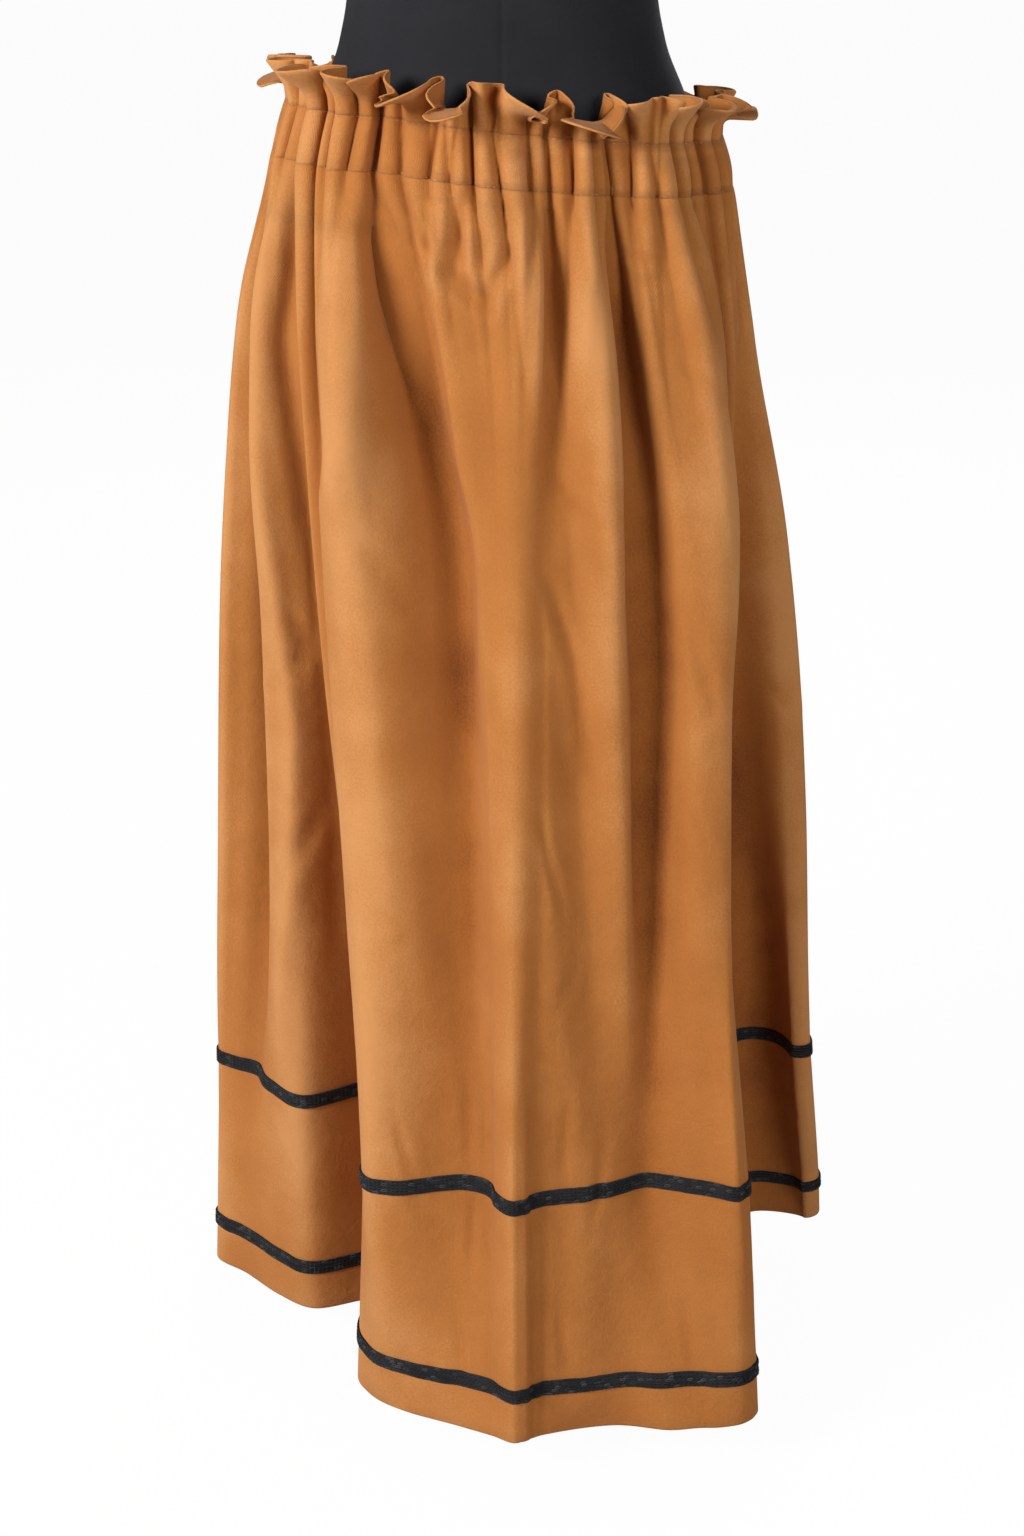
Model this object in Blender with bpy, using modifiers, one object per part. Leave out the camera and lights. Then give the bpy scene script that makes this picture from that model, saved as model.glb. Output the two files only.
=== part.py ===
"""Long gathered skirt with two chain-stitched bands, resting on a limbless dress form.

Metres, +Z up, the skirt's front towards -Y, +X to the right of someone who faces the front.
The origin is the middle of the base plate's underside.
"""
import bisect
import math
from collections import namedtuple

import bmesh
import bpy

# Driving sizes of the skirt
HEM_HEIGHT = 0.045
GATHER_HEIGHT = 1.0055
GATHER_TILT = 0.013
CASING_DEPTH = 0.036
FRILL_DEPTH = 0.031
BAND_WIDTH = 0.0128
UPPER_BAND_ABOVE_HEM = 0.206
LOWER_BAND_ABOVE_HEM = 0.043
GATHERS = 46
COLUMNS_PER_GATHER = 4
GATHER_RELIEF = 0.0036
GATHER_RUN = 0.085
GATHER_FADE = 1.5

# Walls and clearances
CLOTH_WALL = 0.0016
CASING_WALL = 0.0026
BRAID_WALL = 0.0012
SEAM_GAP = 0.0003
CASING_CLEARANCE = 0.0007
BODY_CLEARANCE = 0.0016

# Driving sizes of the dress form
FORM_SIDES = 36
FORM_ROUNDNESS = 2.25
FORM_SKIP = 0.02
DRAW_IN = 0.8
POLE_RADIUS = 0.0125
BASE_RADIUS = 0.132
BASE_EDGE = 0.004
BASE_THICKNESS = 0.012
HUB_RADIUS = 0.024
HUB_HEIGHT = 0.030
CAP_RADIUS = 0.056
CAP_HEIGHT = 0.018
ROUND_SIDES = 36

# How finely the cloth is faceted
FINE_STEPS = 24
FACET_WIDTH = 0.0175
FRILL_COLUMNS = 160
FRILL_SHARES = (0.0, 0.32, 0.62, 1.0)
FRILL_STEPS = 20
GATHERED_SHARE = 0.92
SHARP_ANGLE = math.radians(50)
COLLECTION = "embroidered_skirt"

# Levels at which the fold table gives each fold's reach, as shares of the drop above the hem
LEVELS = {"gather": 1.0, "hip": 0.875, "thigh": 0.703, "knee": 0.474, "shin": 0.213, "hem": 0.0}
BEARING_LEVELS = ("gather", "thigh", "shin", "hem")

# A fold line is a crest or a hollow that runs from the gathers to the hem. Its bearing is in
# degrees round the form's axis (0 right, 90 back, 180 left, 270 front), at four levels, and its
# reach is in millimetres from that axis, at all six.
Fold = namedtuple("Fold", "name turn_gather turn_thigh turn_shin turn_hem "
                          "gather hip thigh knee shin hem")
FOLDS = (
    Fold("left_lobe", 181, 181, 182, 183, 166, 200, 218, 233, 250, 262),
    Fold("left_dip", 190, 190, 190, 190, 158, 171, 179, 193, 219, 235),
    Fold("left_fold", 198, 198, 198, 200, 168, 190, 198, 199, 207, 212),
    Fold("left_roll", 203, 206, 208, 209, 155, 168, 169, 178, 191, 191),
    Fold("left_gap", 206, 212, 212, 217, 152, 160, 141, 131, 124, 134),
    Fold("front_left_edge", 209, 218, 236, 237, 160, 172, 179, 185, 203, 224),
    Fold("shoulder_dip", 213, 222, 240, 241, 149, 163, 175, 192, 222, 234),
    Fold("shoulder_fold", 217, 227, 244, 245, 158, 174, 182, 201, 235, 240),
    Fold("front_left_crest", 223, 236, 250, 252, 153, 173, 182, 200, 230, 245),
    Fold("front_hollow", 230, 257, 262, 262, 135, 131, 138, 170, 213, 252),
    Fold("ridge_foot", 254, 266, 267, 268, 132, 134, 154, 185, 219, 261),
    Fold("centre_ridge", 278, 274, 272, 272, 131, 145, 170, 203, 243, 270),
    Fold("ridge_side", 284, 280, 277, 277, 125, 139, 162, 193, 233, 262),
    Fold("centre_hollow", 290, 288, 289, 290, 128, 142, 163, 190, 223, 264),
    Fold("sharp_fold", 298, 297, 297, 298, 139, 163, 184, 209, 229, 288),
    Fold("right_hollow", 302, 303, 302, 302, 129, 143, 172, 203, 241, 297),
    Fold("right_slope", 307, 310, 306, 305, 134, 165, 201, 233, 262, 306),
    Fold("right_front_crest", 315, 315, 309, 308, 151, 177, 209, 240, 284, 313),
    Fold("right_fold", 324, 320, 310, 310, 157, 184, 211, 241, 288, 314),
    Fold("right_dip", 330, 324, 311, 311, 149, 167, 197, 236, 288, 313),
    Fold("far_right_fold", 338, 328, 312, 312, 163, 187, 201, 232, 287, 311),
    Fold("front_right_edge", 349, 331, 314, 313, 167, 181, 187, 223, 279, 305),
    Fold("right_gap", 354, 347, 349, 350, 163, 171, 157, 152, 158, 172),
    Fold("right_inner", 357, 354, 365, 373, 166, 181, 188, 198, 220, 238),
    Fold("right_face", 359, 358, 360, 368, 164, 188, 216, 238, 255, 286),
    Fold("right_lobe", 361, 361, 362, 371, 166, 194, 230, 254, 272, 304),
    Fold("right_back", 372, 372, 378, 384, 163, 187, 212, 236, 262, 292),
    Fold("back_gap_1", 386, 389, 392, 394, 154, 167, 176, 184, 196, 212),
    Fold("back_fold_1", 399, 402, 405, 406, 160, 183, 209, 236, 266, 290),
    Fold("back_gap_2", 412, 416, 417, 419, 148, 165, 176, 190, 212, 233),
    Fold("back_fold_2", 424, 428, 430, 432, 148, 174, 205, 233, 264, 286),
    Fold("back_gap_3", 437, 441, 443, 444, 140, 156, 165, 178, 198, 222),
    Fold("back_fold_3", 450, 454, 457, 458, 142, 166, 200, 234, 270, 296),
    Fold("back_gap_4", 462, 466, 471, 472, 140, 157, 174, 198, 230, 256),
    Fold("back_fold_4", 473, 478, 482, 482, 147, 172, 204, 232, 260, 280),
    Fold("back_gap_5", 487, 491, 494, 494, 146, 160, 167, 178, 196, 216),
    Fold("back_fold_5", 500, 502, 504, 505, 160, 182, 209, 233, 262, 286),
    Fold("back_gap_6", 512, 514, 515, 516, 155, 168, 175, 184, 202, 222),
    Fold("left_back_fold", 524, 525, 525, 526, 166, 191, 212, 230, 254, 274),
    Fold("left_back_dip", 533, 533, 534, 535, 163, 185, 200, 214, 232, 246),
)
SEAM_FOLDS = ("right_back", "left_back_dip")

# Slow swells round the waist that make the gathers uneven in relief and in length
Swell = namedtuple("Swell", "size turns start")
RELIEF_SWELLS = (Swell(0.30, 4, 0.0), Swell(0.25, 10, 1.0))
RUN_SWELLS = (Swell(0.45, 6, 2.0),)

# How far the heading leans out over the casing: a tongue of the frill hangs out at each bearing
FRILL_UPRIGHT = 4.0
FRILL_FOOT = 0.18
FRILL_BEND = 0.45
Tongue = namedtuple("Tongue", "bearing lean")
TONGUES = (
    Tongue(184, 96), Tongue(203, 48), Tongue(218, 70), Tongue(241, 112), Tongue(256, 70),
    Tongue(279, 132), Tongue(300, 160), Tongue(314, 84), Tongue(330, 60), Tongue(348, 138),
    Tongue(366, 66), Tongue(384, 118), Tongue(401, 62), Tongue(419, 108), Tongue(437, 58),
    Tongue(455, 136), Tongue(474, 72), Tongue(493, 114), Tongue(511, 60), Tongue(527, 94),
)

# Rows of the panels' mesh besides the hem, the gathers and the edges of the two bands, as
# shares of the drop above the hem
PLAIN_ROWS = (0.973, 0.937, 0.875, 0.786, 0.682, 0.547, 0.390)

# The dress form's sections, from the cut at the thigh to the neck
Section = namedtuple("Section", "height half_width front back")
FORM_SECTIONS = (
    Section(0.800, 0.120, 0.080, 0.088),
    Section(0.808, 0.143, 0.099, 0.111),
    Section(0.850, 0.158, 0.112, 0.128),
    Section(0.900, 0.163, 0.118, 0.134),
    Section(0.950, 0.162, 0.119, 0.133),
    Section(1.000, 0.156, 0.117, 0.125),
    Section(1.030, 0.1455, 0.1115, 0.116),
    Section(1.060, 0.1340, 0.1040, 0.106),
    Section(1.095, 0.1195, 0.0960, 0.095),
    Section(1.135, 0.1125, 0.0920, 0.089),
    Section(1.190, 0.1205, 0.0990, 0.092),
    Section(1.260, 0.1370, 0.1150, 0.099),
    Section(1.320, 0.1480, 0.1230, 0.106),
    Section(1.390, 0.1560, 0.1090, 0.110),
    Section(1.440, 0.1620, 0.0900, 0.106),
    Section(1.475, 0.1590, 0.0760, 0.095),
    Section(1.500, 0.1360, 0.0670, 0.080),
    Section(1.520, 0.0990, 0.0600, 0.068),
    Section(1.540, 0.0690, 0.0550, 0.060),
    Section(1.562, 0.0570, 0.0520, 0.054),
    Section(1.620, 0.0535, 0.0505, 0.052),
)


def rounded(heights, values, height):
    """Value at a height, on a smooth line through the table that never overshoots it."""
    pairs = sorted(zip(heights, values))
    xs = [pair[0] for pair in pairs]
    ys = [pair[1] for pair in pairs]
    if height <= xs[0]:
        return ys[0]
    if height >= xs[-1]:
        return ys[-1]
    slopes = [(ys[i + 1] - ys[i]) / (xs[i + 1] - xs[i]) for i in range(len(xs) - 1)]
    tangents = [slopes[0]]
    for before, after in zip(slopes, slopes[1:]):
        meets = before * after > 0.0
        tangents.append(2.0 * before * after / (before + after) if meets else 0.0)
    tangents.append(slopes[-1])
    index = max(i for i in range(len(xs) - 1) if xs[i] <= height)
    span = xs[index + 1] - xs[index]
    t = (height - xs[index]) / span
    start = ys[index] * (1 + 2 * t) * (1 - t) ** 2 + tangents[index] * span * t * (1 - t) ** 2
    end = ys[index + 1] * t * t * (3 - 2 * t) + tangents[index + 1] * span * t * t * (t - 1)
    return start + end


def form_reach(bearing, height):
    """Distance from the axis to the dress form's surface, at a bearing in radians."""
    heights = [section.height for section in FORM_SECTIONS]
    half_width = rounded(heights, [section.half_width for section in FORM_SECTIONS], height)
    if math.sin(bearing) < 0.0:
        depth = rounded(heights, [section.front for section in FORM_SECTIONS], height)
    else:
        depth = rounded(heights, [section.back for section in FORM_SECTIONS], height)
    across = abs(math.cos(bearing) / half_width) ** FORM_ROUNDNESS
    along = abs(math.sin(bearing) / depth) ** FORM_ROUNDNESS
    return (across + along) ** (-1.0 / FORM_ROUNDNESS)


def gather_height(bearing):
    """Height of the lower stitch row, which hangs lower on the right hip."""
    return GATHER_HEIGHT - GATHER_TILT * math.cos(bearing)


def height_of(share):
    """Height of a share of the drop above the hem."""
    return HEM_HEIGHT + share * (GATHER_HEIGHT - HEM_HEIGHT)


def fold_plan(height):
    """Plan points of all fold lines at a height."""
    heights = [height_of(share) for share in LEVELS.values()]
    turn_heights = [height_of(LEVELS[name]) for name in BEARING_LEVELS]
    points = []
    for fold in FOLDS:
        turns = (fold.turn_gather, fold.turn_thigh, fold.turn_shin, fold.turn_hem)
        reaches = (fold.gather, fold.hip, fold.thigh, fold.knee, fold.shin, fold.hem)
        bearing = math.radians(rounded(turn_heights, turns, height))
        reach = rounded(heights, reaches, height) / 1000.0
        points.append((reach * math.cos(bearing), reach * math.sin(bearing)))
    return points


def curve_through(points, station):
    """Point of the closed curve through the plan points; a station is a fold's index and part."""
    count = len(points)
    index = int(math.floor(station)) % count
    t = station - math.floor(station)
    near = [points[(index + step) % count] for step in (-1, 0, 1, 2)]
    knots = [0.0]
    for a, b in zip(near, near[1:]):
        knots.append(knots[-1] + math.dist(a, b) ** 0.5)
    at = knots[1] + t * (knots[2] - knots[1])

    def mix(a, b, low, high):
        share = (at - low) / (high - low)
        return (a[0] + (b[0] - a[0]) * share, a[1] + (b[1] - a[1]) * share)

    first = [mix(near[i], near[i + 1], knots[i], knots[i + 1]) for i in range(3)]
    second = [mix(first[i], first[i + 1], knots[i], knots[i + 2]) for i in range(2)]
    return mix(second[0], second[1], knots[1], knots[2])


def arc_run(plan):
    """Lengths along the closed curve, from its start to each fine step of its stations."""
    steps = len(FOLDS) * FINE_STEPS
    points = [curve_through(plan, step / FINE_STEPS) for step in range(steps + 1)]
    run = [0.0]
    for a, b in zip(points, points[1:]):
        run.append(run[-1] + math.dist(a, b))
    return run


def station_at(run, length):
    """Station of the point that lies a length along the curve."""
    step = min(bisect.bisect_right(run, length), len(run) - 1) - 1
    part = (length - run[step]) / (run[step + 1] - run[step])
    return (step + part) / FINE_STEPS


def even_stations(count):
    """Stations evenly spaced along the gathers, with one of them at each side seam."""
    run = arc_run(fold_plan(GATHER_HEIGHT))
    stations = [station_at(run, run[-1] * column / count) for column in range(count)]
    for seam in seam_stations():
        nearest = min(range(count), key=lambda column: abs(stations[column] - seam))
        stations[nearest] = float(seam)
    return stations


def spread_stations(height):
    """Stations at every fold line and evenly between two, about a facet apart at a height."""
    run = arc_run(fold_plan(height))
    stations = []
    for index in range(len(FOLDS)):
        start, end = run[index * FINE_STEPS], run[(index + 1) * FINE_STEPS]
        facets = max(1, round((end - start) / FACET_WIDTH))
        stations.append(float(index))
        for facet in range(1, facets):
            stations.append(station_at(run, start + (end - start) * facet / facets))
    return stations


def seam_stations():
    """Stations of the right and the left side seam."""
    names = [fold.name for fold in FOLDS]
    return [names.index(name) for name in SEAM_FOLDS]


def swollen(swells, share):
    """One, raised and lowered by the swells at a share of the way round."""
    turn = 2 * math.pi * share
    return 1.0 + sum(swell.size * math.sin(swell.turns * turn + swell.start) for swell in swells)


def gather_ripple(share, below):
    """Outward relief of the small gathers at a share of the way round, below the stitch row."""
    relief = GATHER_RELIEF * swollen(RELIEF_SWELLS, share)
    fade = (below / (GATHER_RUN * swollen(RUN_SWELLS, share))) ** GATHER_FADE
    return relief * math.exp(-fade) * math.cos(2 * math.pi * GATHERS * share)


def held_off(bearing, reach, height, wall):
    """The reach, or more where the wall inside it would come too near the dress form."""
    if height < FORM_SECTIONS[0].height - FORM_SKIP:
        return reach
    return max(reach, form_reach(bearing, height) + wall)


def panel_row(height, stations):
    """Points of the panels' outer surface; the row follows the tilt of the gathers."""
    plan = fold_plan(height)
    run = arc_run(fold_plan(GATHER_HEIGHT))
    share_up = (height - HEM_HEIGHT) / (GATHER_HEIGHT - HEM_HEIGHT)
    row = []
    for station in stations:
        x, y = curve_through(plan, station)
        bearing = math.atan2(y, x)
        z = HEM_HEIGHT + share_up * (gather_height(bearing) - HEM_HEIGHT)
        share = run[round(station * FINE_STEPS)] / run[-1]
        reach = math.hypot(x, y) + gather_ripple(share, GATHER_HEIGHT - height)
        reach = held_off(bearing, reach, z, CLOTH_WALL + BODY_CLEARANCE)
        row.append((reach * math.cos(bearing), reach * math.sin(bearing), z))
    return row


def casing_row(above, stations):
    """One row of the casing, which draws in with the form above the gathers."""
    plan = fold_plan(GATHER_HEIGHT)
    run = arc_run(plan)
    row = []
    for station in stations:
        x, y = curve_through(plan, station)
        bearing = math.atan2(y, x)
        foot = gather_height(bearing)
        share = run[round(station * FINE_STEPS)] / run[-1]
        reach = math.hypot(x, y) + gather_ripple(share, 0.0)
        reach -= DRAW_IN * (form_reach(bearing, foot) - form_reach(bearing, foot + above))
        reach = held_off(bearing, reach, foot + above, CASING_WALL + CASING_CLEARANCE)
        row.append((reach * math.cos(bearing), reach * math.sin(bearing), foot + above))
    return row


def frill_lean(bearing):
    """Lean of the frill's top edge in radians: out at each tongue and upright between two."""
    turn = math.degrees(bearing)
    lean = FRILL_UPRIGHT
    for before, tongue, after in zip(TONGUES[-1:] + TONGUES, TONGUES, TONGUES[1:] + TONGUES[:1]):
        offset = (turn - tongue.bearing + 180.0) % 360.0 - 180.0
        neighbour = after if offset > 0.0 else before
        width = abs((neighbour.bearing - tongue.bearing + 180.0) % 360.0 - 180.0) / 2
        if abs(offset) < width:
            rise = 0.5 + 0.5 * math.cos(math.pi * offset / width)
            lean += (tongue.lean - FRILL_UPRIGHT) * rise
    return math.radians(lean)


def frill_profile(lean, share):
    """Out, up and lean of the frill at a share of its depth: it stands, bends and hangs out."""
    out, up, curl = 0.0, 0.0, 0.0
    for step in range(round(share * FRILL_STEPS)):
        bend = min(max(((step + 0.5) / FRILL_STEPS - FRILL_FOOT) / FRILL_BEND, 0.0), 1.0)
        curl = lean * bend * bend * (3.0 - 2.0 * bend)
        out += FRILL_DEPTH / FRILL_STEPS * math.sin(curl)
        up += FRILL_DEPTH / FRILL_STEPS * math.cos(curl)
    return out, up, curl


def frill_rows(stations):
    """The frill's outer and inner grid, above the casing's top edge."""
    foot = casing_row(CASING_DEPTH + SEAM_GAP, stations)
    outer, inner = [], []
    for share in FRILL_SHARES:
        outer.append([])
        inner.append([])
        for (x, y, z), (nx, ny) in zip(foot, level_normals(foot)):
            out, up, curl = frill_profile(frill_lean(math.atan2(y, x)), share)
            outer[-1].append((x + out * nx, y + out * ny, z + up))
            back = out - CASING_WALL * math.cos(curl)
            inner[-1].append((x + back * nx, y + back * ny, z + up + CASING_WALL * math.sin(curl)))
    return outer, inner


def level_normals(row):
    """Level unit normals of a closed row that runs anticlockwise seen from above."""
    normals = []
    for before, after in zip(row[-1:] + row[:-1], row[1:] + row[:1]):
        dx, dy = after[0] - before[0], after[1] - before[1]
        length = math.hypot(dx, dy)
        normals.append((dy / length, -dx / length))
    return normals


def moved_out(row, distance):
    """The row moved along its level normals."""
    return [(x + nx * distance, y + ny * distance, z)
            for (x, y, z), (nx, ny) in zip(row, level_normals(row))]


def link(obj):
    """Puts an object in the part's collection."""
    bpy.data.collections[COLLECTION].objects.link(obj)
    return obj


def finish_mesh(name, bm, material):
    """Turns a bmesh into a smooth-shaded object of the part."""
    bmesh.ops.triangulate(bm, faces=[face for face in bm.faces if len(face.verts) > 4])
    bmesh.ops.recalc_face_normals(bm, faces=bm.faces)
    mesh = bpy.data.meshes.new(name)
    bm.to_mesh(mesh)
    bm.free()
    mesh.shade_smooth()
    mesh.set_sharp_from_angle(angle=SHARP_ANGLE)
    mesh.materials.append(material)
    return link(bpy.data.objects.new(name, mesh))


def zip_rows(bm, low, high, low_stations, high_stations):
    """Fills the strip between two rows with triangles, which join stations that are near."""
    i, j = 0, 0
    while i < len(low) - 1 or j < len(high) - 1:
        low_next = low_stations[i + 1] if i < len(low) - 1 else math.inf
        high_next = high_stations[j + 1] if j < len(high) - 1 else math.inf
        if low_next <= high_next:
            bm.faces.new((low[i], low[i + 1], high[j]))
            i += 1
        else:
            bm.faces.new((low[i], high[j + 1], high[j]))
            j += 1


def cloth_wall(name, outer, inner, stations, closed, material):
    """Lofts a wall between an outer and an inner set of rows, and closes its edges and ends."""
    bm = bmesh.new()
    skins = []
    for rows in (outer, inner):
        skins.append([[bm.verts.new(point) for point in row] for row in rows])
    if closed:
        skins = [[row + row[:1] for row in skin] for skin in skins]
        stations = [line + [line[0] + len(FOLDS)] for line in stations]
    for skin in skins:
        for level in range(len(skin) - 1):
            zip_rows(bm, skin[level], skin[level + 1], stations[level], stations[level + 1])
    for edge in (0, -1):
        zip_rows(bm, skins[0][edge], skins[1][edge], stations[edge], stations[edge])
    if not closed:
        for end in (0, -1):
            sides = [[row[end] for row in skin] for skin in skins]
            order = list(range(len(outer)))
            zip_rows(bm, sides[0], sides[1], order, order)
    return finish_mesh(name, bm, material)


def between(a, b, distance):
    """Point at a distance from a on the way to b."""
    length = math.dist(a, b)
    return tuple(p + (q - p) * distance / length for p, q in zip(a, b))


def span_of(row, stations, start, end):
    """The part of a closed row from one station round to another, with its stations."""
    laps = len(FOLDS)
    pairs = [(station + lap * laps, point) for lap in (0, 1)
             for station, point in zip(stations, row) if start <= station + lap * laps <= end]
    return [point for station, point in pairs], [station for station, point in pairs]


def panel_rows():
    """Heights, stations and outer points of the panels' rows, from the hem to the gathers."""
    heights = [HEM_HEIGHT, GATHER_HEIGHT - SEAM_GAP] + [height_of(share) for share in PLAIN_ROWS]
    for above in (LOWER_BAND_ABOVE_HEM, UPPER_BAND_ABOVE_HEM):
        heights += [HEM_HEIGHT + above - BAND_WIDTH / 2, HEM_HEIGHT + above + BAND_WIDTH / 2]
    rows = []
    for height in sorted(heights):
        if height > height_of(GATHERED_SHARE):
            stations = even_stations(GATHERS * COLUMNS_PER_GATHER)
        elif rows and height - rows[-1][0] < BAND_WIDTH * 1.5:
            stations = rows[-1][1]
        else:
            stations = spread_stations(height)
        rows.append((height, stations, panel_row(height, stations)))
    return rows


def build_panels(rows, cloth):
    """The front and the back panel, which meet at the side seams."""
    right, left = seam_stations()
    spans = {"front_panel": (left, right + len(FOLDS)), "back_panel": (right, left)}
    for name, (start, end) in spans.items():
        outer, inner, lines = [], [], []
        for height, stations, row in rows:
            points, line = span_of(row, stations, start, end)
            under, line = span_of(moved_out(row, -CLOTH_WALL), stations, start, end)
            for skin in (points, under):
                skin[0] = between(skin[0], skin[1], SEAM_GAP / 2)
                skin[-1] = between(skin[-1], skin[-2], SEAM_GAP / 2)
            outer.append(points)
            inner.append(under)
            lines.append(line)
        cloth_wall(name, outer, inner, lines, False, cloth)


def build_band(name, above_hem, rows, thread):
    """A band of chain stitch: the panels' own points, moved out, round the whole skirt."""
    middle = HEM_HEIGHT + above_hem
    edges = [entry for entry in rows if abs(entry[0] - middle) < BAND_WIDTH]
    lines = [stations for height, stations, row in edges]
    over = [moved_out(row, SEAM_GAP + BRAID_WALL) for height, stations, row in edges]
    under = [moved_out(row, SEAM_GAP) for height, stations, row in edges]
    return cloth_wall(name, over, under, lines, True, thread)


def build_waist(cloth):
    """The elastic casing and the frilled heading above it."""
    stations = even_stations(GATHERS * COLUMNS_PER_GATHER)
    rows = [casing_row(above, stations) for above in (0.0, CASING_DEPTH)]
    inner = [moved_out(row, -CASING_WALL) for row in rows]
    cloth_wall("waist_casing", rows, inner, [stations] * len(rows), True, cloth)
    stations = even_stations(FRILL_COLUMNS)
    outer, inner = frill_rows(stations)
    cloth_wall("heading_frill", outer, inner, [stations] * len(outer), True, cloth)


def build_torso(cover):
    """The padded torso: a loft through its sections, closed at the thigh and the neck."""
    bm = bmesh.new()
    rings = []
    for section in FORM_SECTIONS:
        ring = []
        for side in range(FORM_SIDES):
            bearing = 2 * math.pi * side / FORM_SIDES
            reach = form_reach(bearing, section.height)
            place = (reach * math.cos(bearing), reach * math.sin(bearing), section.height)
            ring.append(bm.verts.new(place))
        rings.append(ring)
    for low, high in zip(rings, rings[1:]):
        for side in range(FORM_SIDES):
            after = (side + 1) % FORM_SIDES
            bm.faces.new((low[side], low[after], high[after], high[side]))
    bm.faces.new(rings[0])
    bm.faces.new(rings[-1])
    return finish_mesh("form_torso", bm, cover)


def turned(name, profile, material):
    """A turned piece: a profile of (radius, height) from the top down, spun about the axis."""
    mesh = bpy.data.meshes.new(name)
    edges = [(i, i + 1) for i in range(len(profile) - 1)]
    mesh.from_pydata([(radius, 0.0, height) for radius, height in profile], edges, [])
    mesh.materials.append(material)
    obj = link(bpy.data.objects.new(name, mesh))
    screw = obj.modifiers.new("Spin", "SCREW")
    screw.steps = ROUND_SIDES
    screw.render_steps = ROUND_SIDES
    screw.use_merge_vertices = True
    screw.merge_threshold = 0.00005
    screw.use_smooth_shade = False
    return obj


def build_stand(metal, cap_finish):
    """The neck cap, the pole under the torso and the round base plate with its hub."""
    neck = FORM_SECTIONS[-1].height + SEAM_GAP
    turned("form_neck_cap", [
        (0.0, neck + CAP_HEIGHT),
        (CAP_RADIUS * 0.75, neck + CAP_HEIGHT * 0.9),
        (CAP_RADIUS * 0.96, neck + CAP_HEIGHT * 0.6),
        (CAP_RADIUS, neck + CAP_HEIGHT * 0.25),
        (CAP_RADIUS, neck),
        (0.0, neck),
    ], cap_finish)
    hub_top = BASE_THICKNESS + HUB_HEIGHT
    turned("form_base", [
        (0.0, hub_top),
        (HUB_RADIUS * 0.8, hub_top),
        (HUB_RADIUS, hub_top - HUB_HEIGHT * 0.15),
        (HUB_RADIUS, BASE_THICKNESS),
        (BASE_RADIUS - BASE_EDGE, BASE_THICKNESS),
        (BASE_RADIUS, BASE_THICKNESS - BASE_EDGE),
        (BASE_RADIUS, 0.0),
        (0.0, 0.0),
    ], metal)
    turned("form_pole", [
        (0.0, FORM_SECTIONS[0].height - SEAM_GAP),
        (POLE_RADIUS, FORM_SECTIONS[0].height - SEAM_GAP),
        (POLE_RADIUS, hub_top + SEAM_GAP),
        (0.0, hub_top + SEAM_GAP),
    ], metal)


def principled(name, colour, roughness, metallic):
    """A plain material with the piece's colour, roughness and metallic value."""
    material = bpy.data.materials.new(name)
    material.use_nodes = True
    shader = material.node_tree.nodes["Principled BSDF"]
    shader.inputs["Base Color"].default_value = (*colour, 1.0)
    shader.inputs["Roughness"].default_value = roughness
    shader.inputs["Metallic"].default_value = metallic
    material.diffuse_color = (*colour, 1.0)
    return material


def main():
    """Clears the scene and builds the skirt and the dress form."""
    for obj in list(bpy.data.objects):
        bpy.data.objects.remove(obj)
    bpy.context.scene.collection.children.link(bpy.data.collections.new(COLLECTION))
    cloth = principled("ochre_cotton", (0.47, 0.17, 0.035), 0.85, 0.0)
    thread = principled("black_thread", (0.012, 0.012, 0.015), 0.60, 0.0)
    cover = principled("form_jersey", (0.018, 0.019, 0.024), 0.90, 0.0)
    cap_finish = principled("cap_paint", (0.015, 0.015, 0.017), 0.45, 0.0)
    metal = principled("stand_steel", (0.03, 0.03, 0.033), 0.40, 1.0)

    rows = panel_rows()
    build_panels(rows, cloth)
    build_band("upper_braid", UPPER_BAND_ABOVE_HEM, rows, thread)
    build_band("lower_braid", LOWER_BAND_ABOVE_HEM, rows, thread)
    build_waist(cloth)
    build_torso(cover)
    build_stand(metal, cap_finish)


main()
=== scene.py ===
"""Visual model of a long gathered skirt with two chain-stitched bands, on a limbless dress form.

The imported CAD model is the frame. The cloth, the stitches and the dress form's cover are built
here as finer meshes on its forms, in metres, +Z up, with the skirt's front towards -Y. Wide folds
correct the solids' fold table where the photo asks for it, by up to 23 mm each.
"""
from __future__ import annotations

import logging
import math
from dataclasses import dataclass, field
from enum import Enum
from typing import NamedTuple, Sequence

import bmesh
import bpy
import numpy as np
from mathutils import Euler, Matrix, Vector, noise


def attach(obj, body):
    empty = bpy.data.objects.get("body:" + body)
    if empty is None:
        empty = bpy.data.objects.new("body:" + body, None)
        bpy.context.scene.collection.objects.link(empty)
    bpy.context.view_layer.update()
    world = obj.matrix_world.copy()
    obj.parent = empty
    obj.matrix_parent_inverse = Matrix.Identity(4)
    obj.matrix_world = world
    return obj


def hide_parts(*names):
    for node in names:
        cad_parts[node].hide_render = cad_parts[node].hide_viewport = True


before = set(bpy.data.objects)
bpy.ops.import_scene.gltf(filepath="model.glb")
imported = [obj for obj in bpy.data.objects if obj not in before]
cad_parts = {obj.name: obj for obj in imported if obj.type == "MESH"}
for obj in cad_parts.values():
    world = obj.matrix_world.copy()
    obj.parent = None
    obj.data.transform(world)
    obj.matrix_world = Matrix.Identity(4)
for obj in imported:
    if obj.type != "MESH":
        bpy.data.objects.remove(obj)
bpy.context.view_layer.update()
LOG = logging.getLogger("embroidered_skirt")
UV_NAME = "cloth"
# The tone attribute: painted shade and painted highlight on the cloth, and each stitch's random tone on
# the threads.
SHADE_AND_TONE_NAME = "tone"
HOLLOW_SPREAD = 2.0


# The skirt's form, as in the part's source

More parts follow.
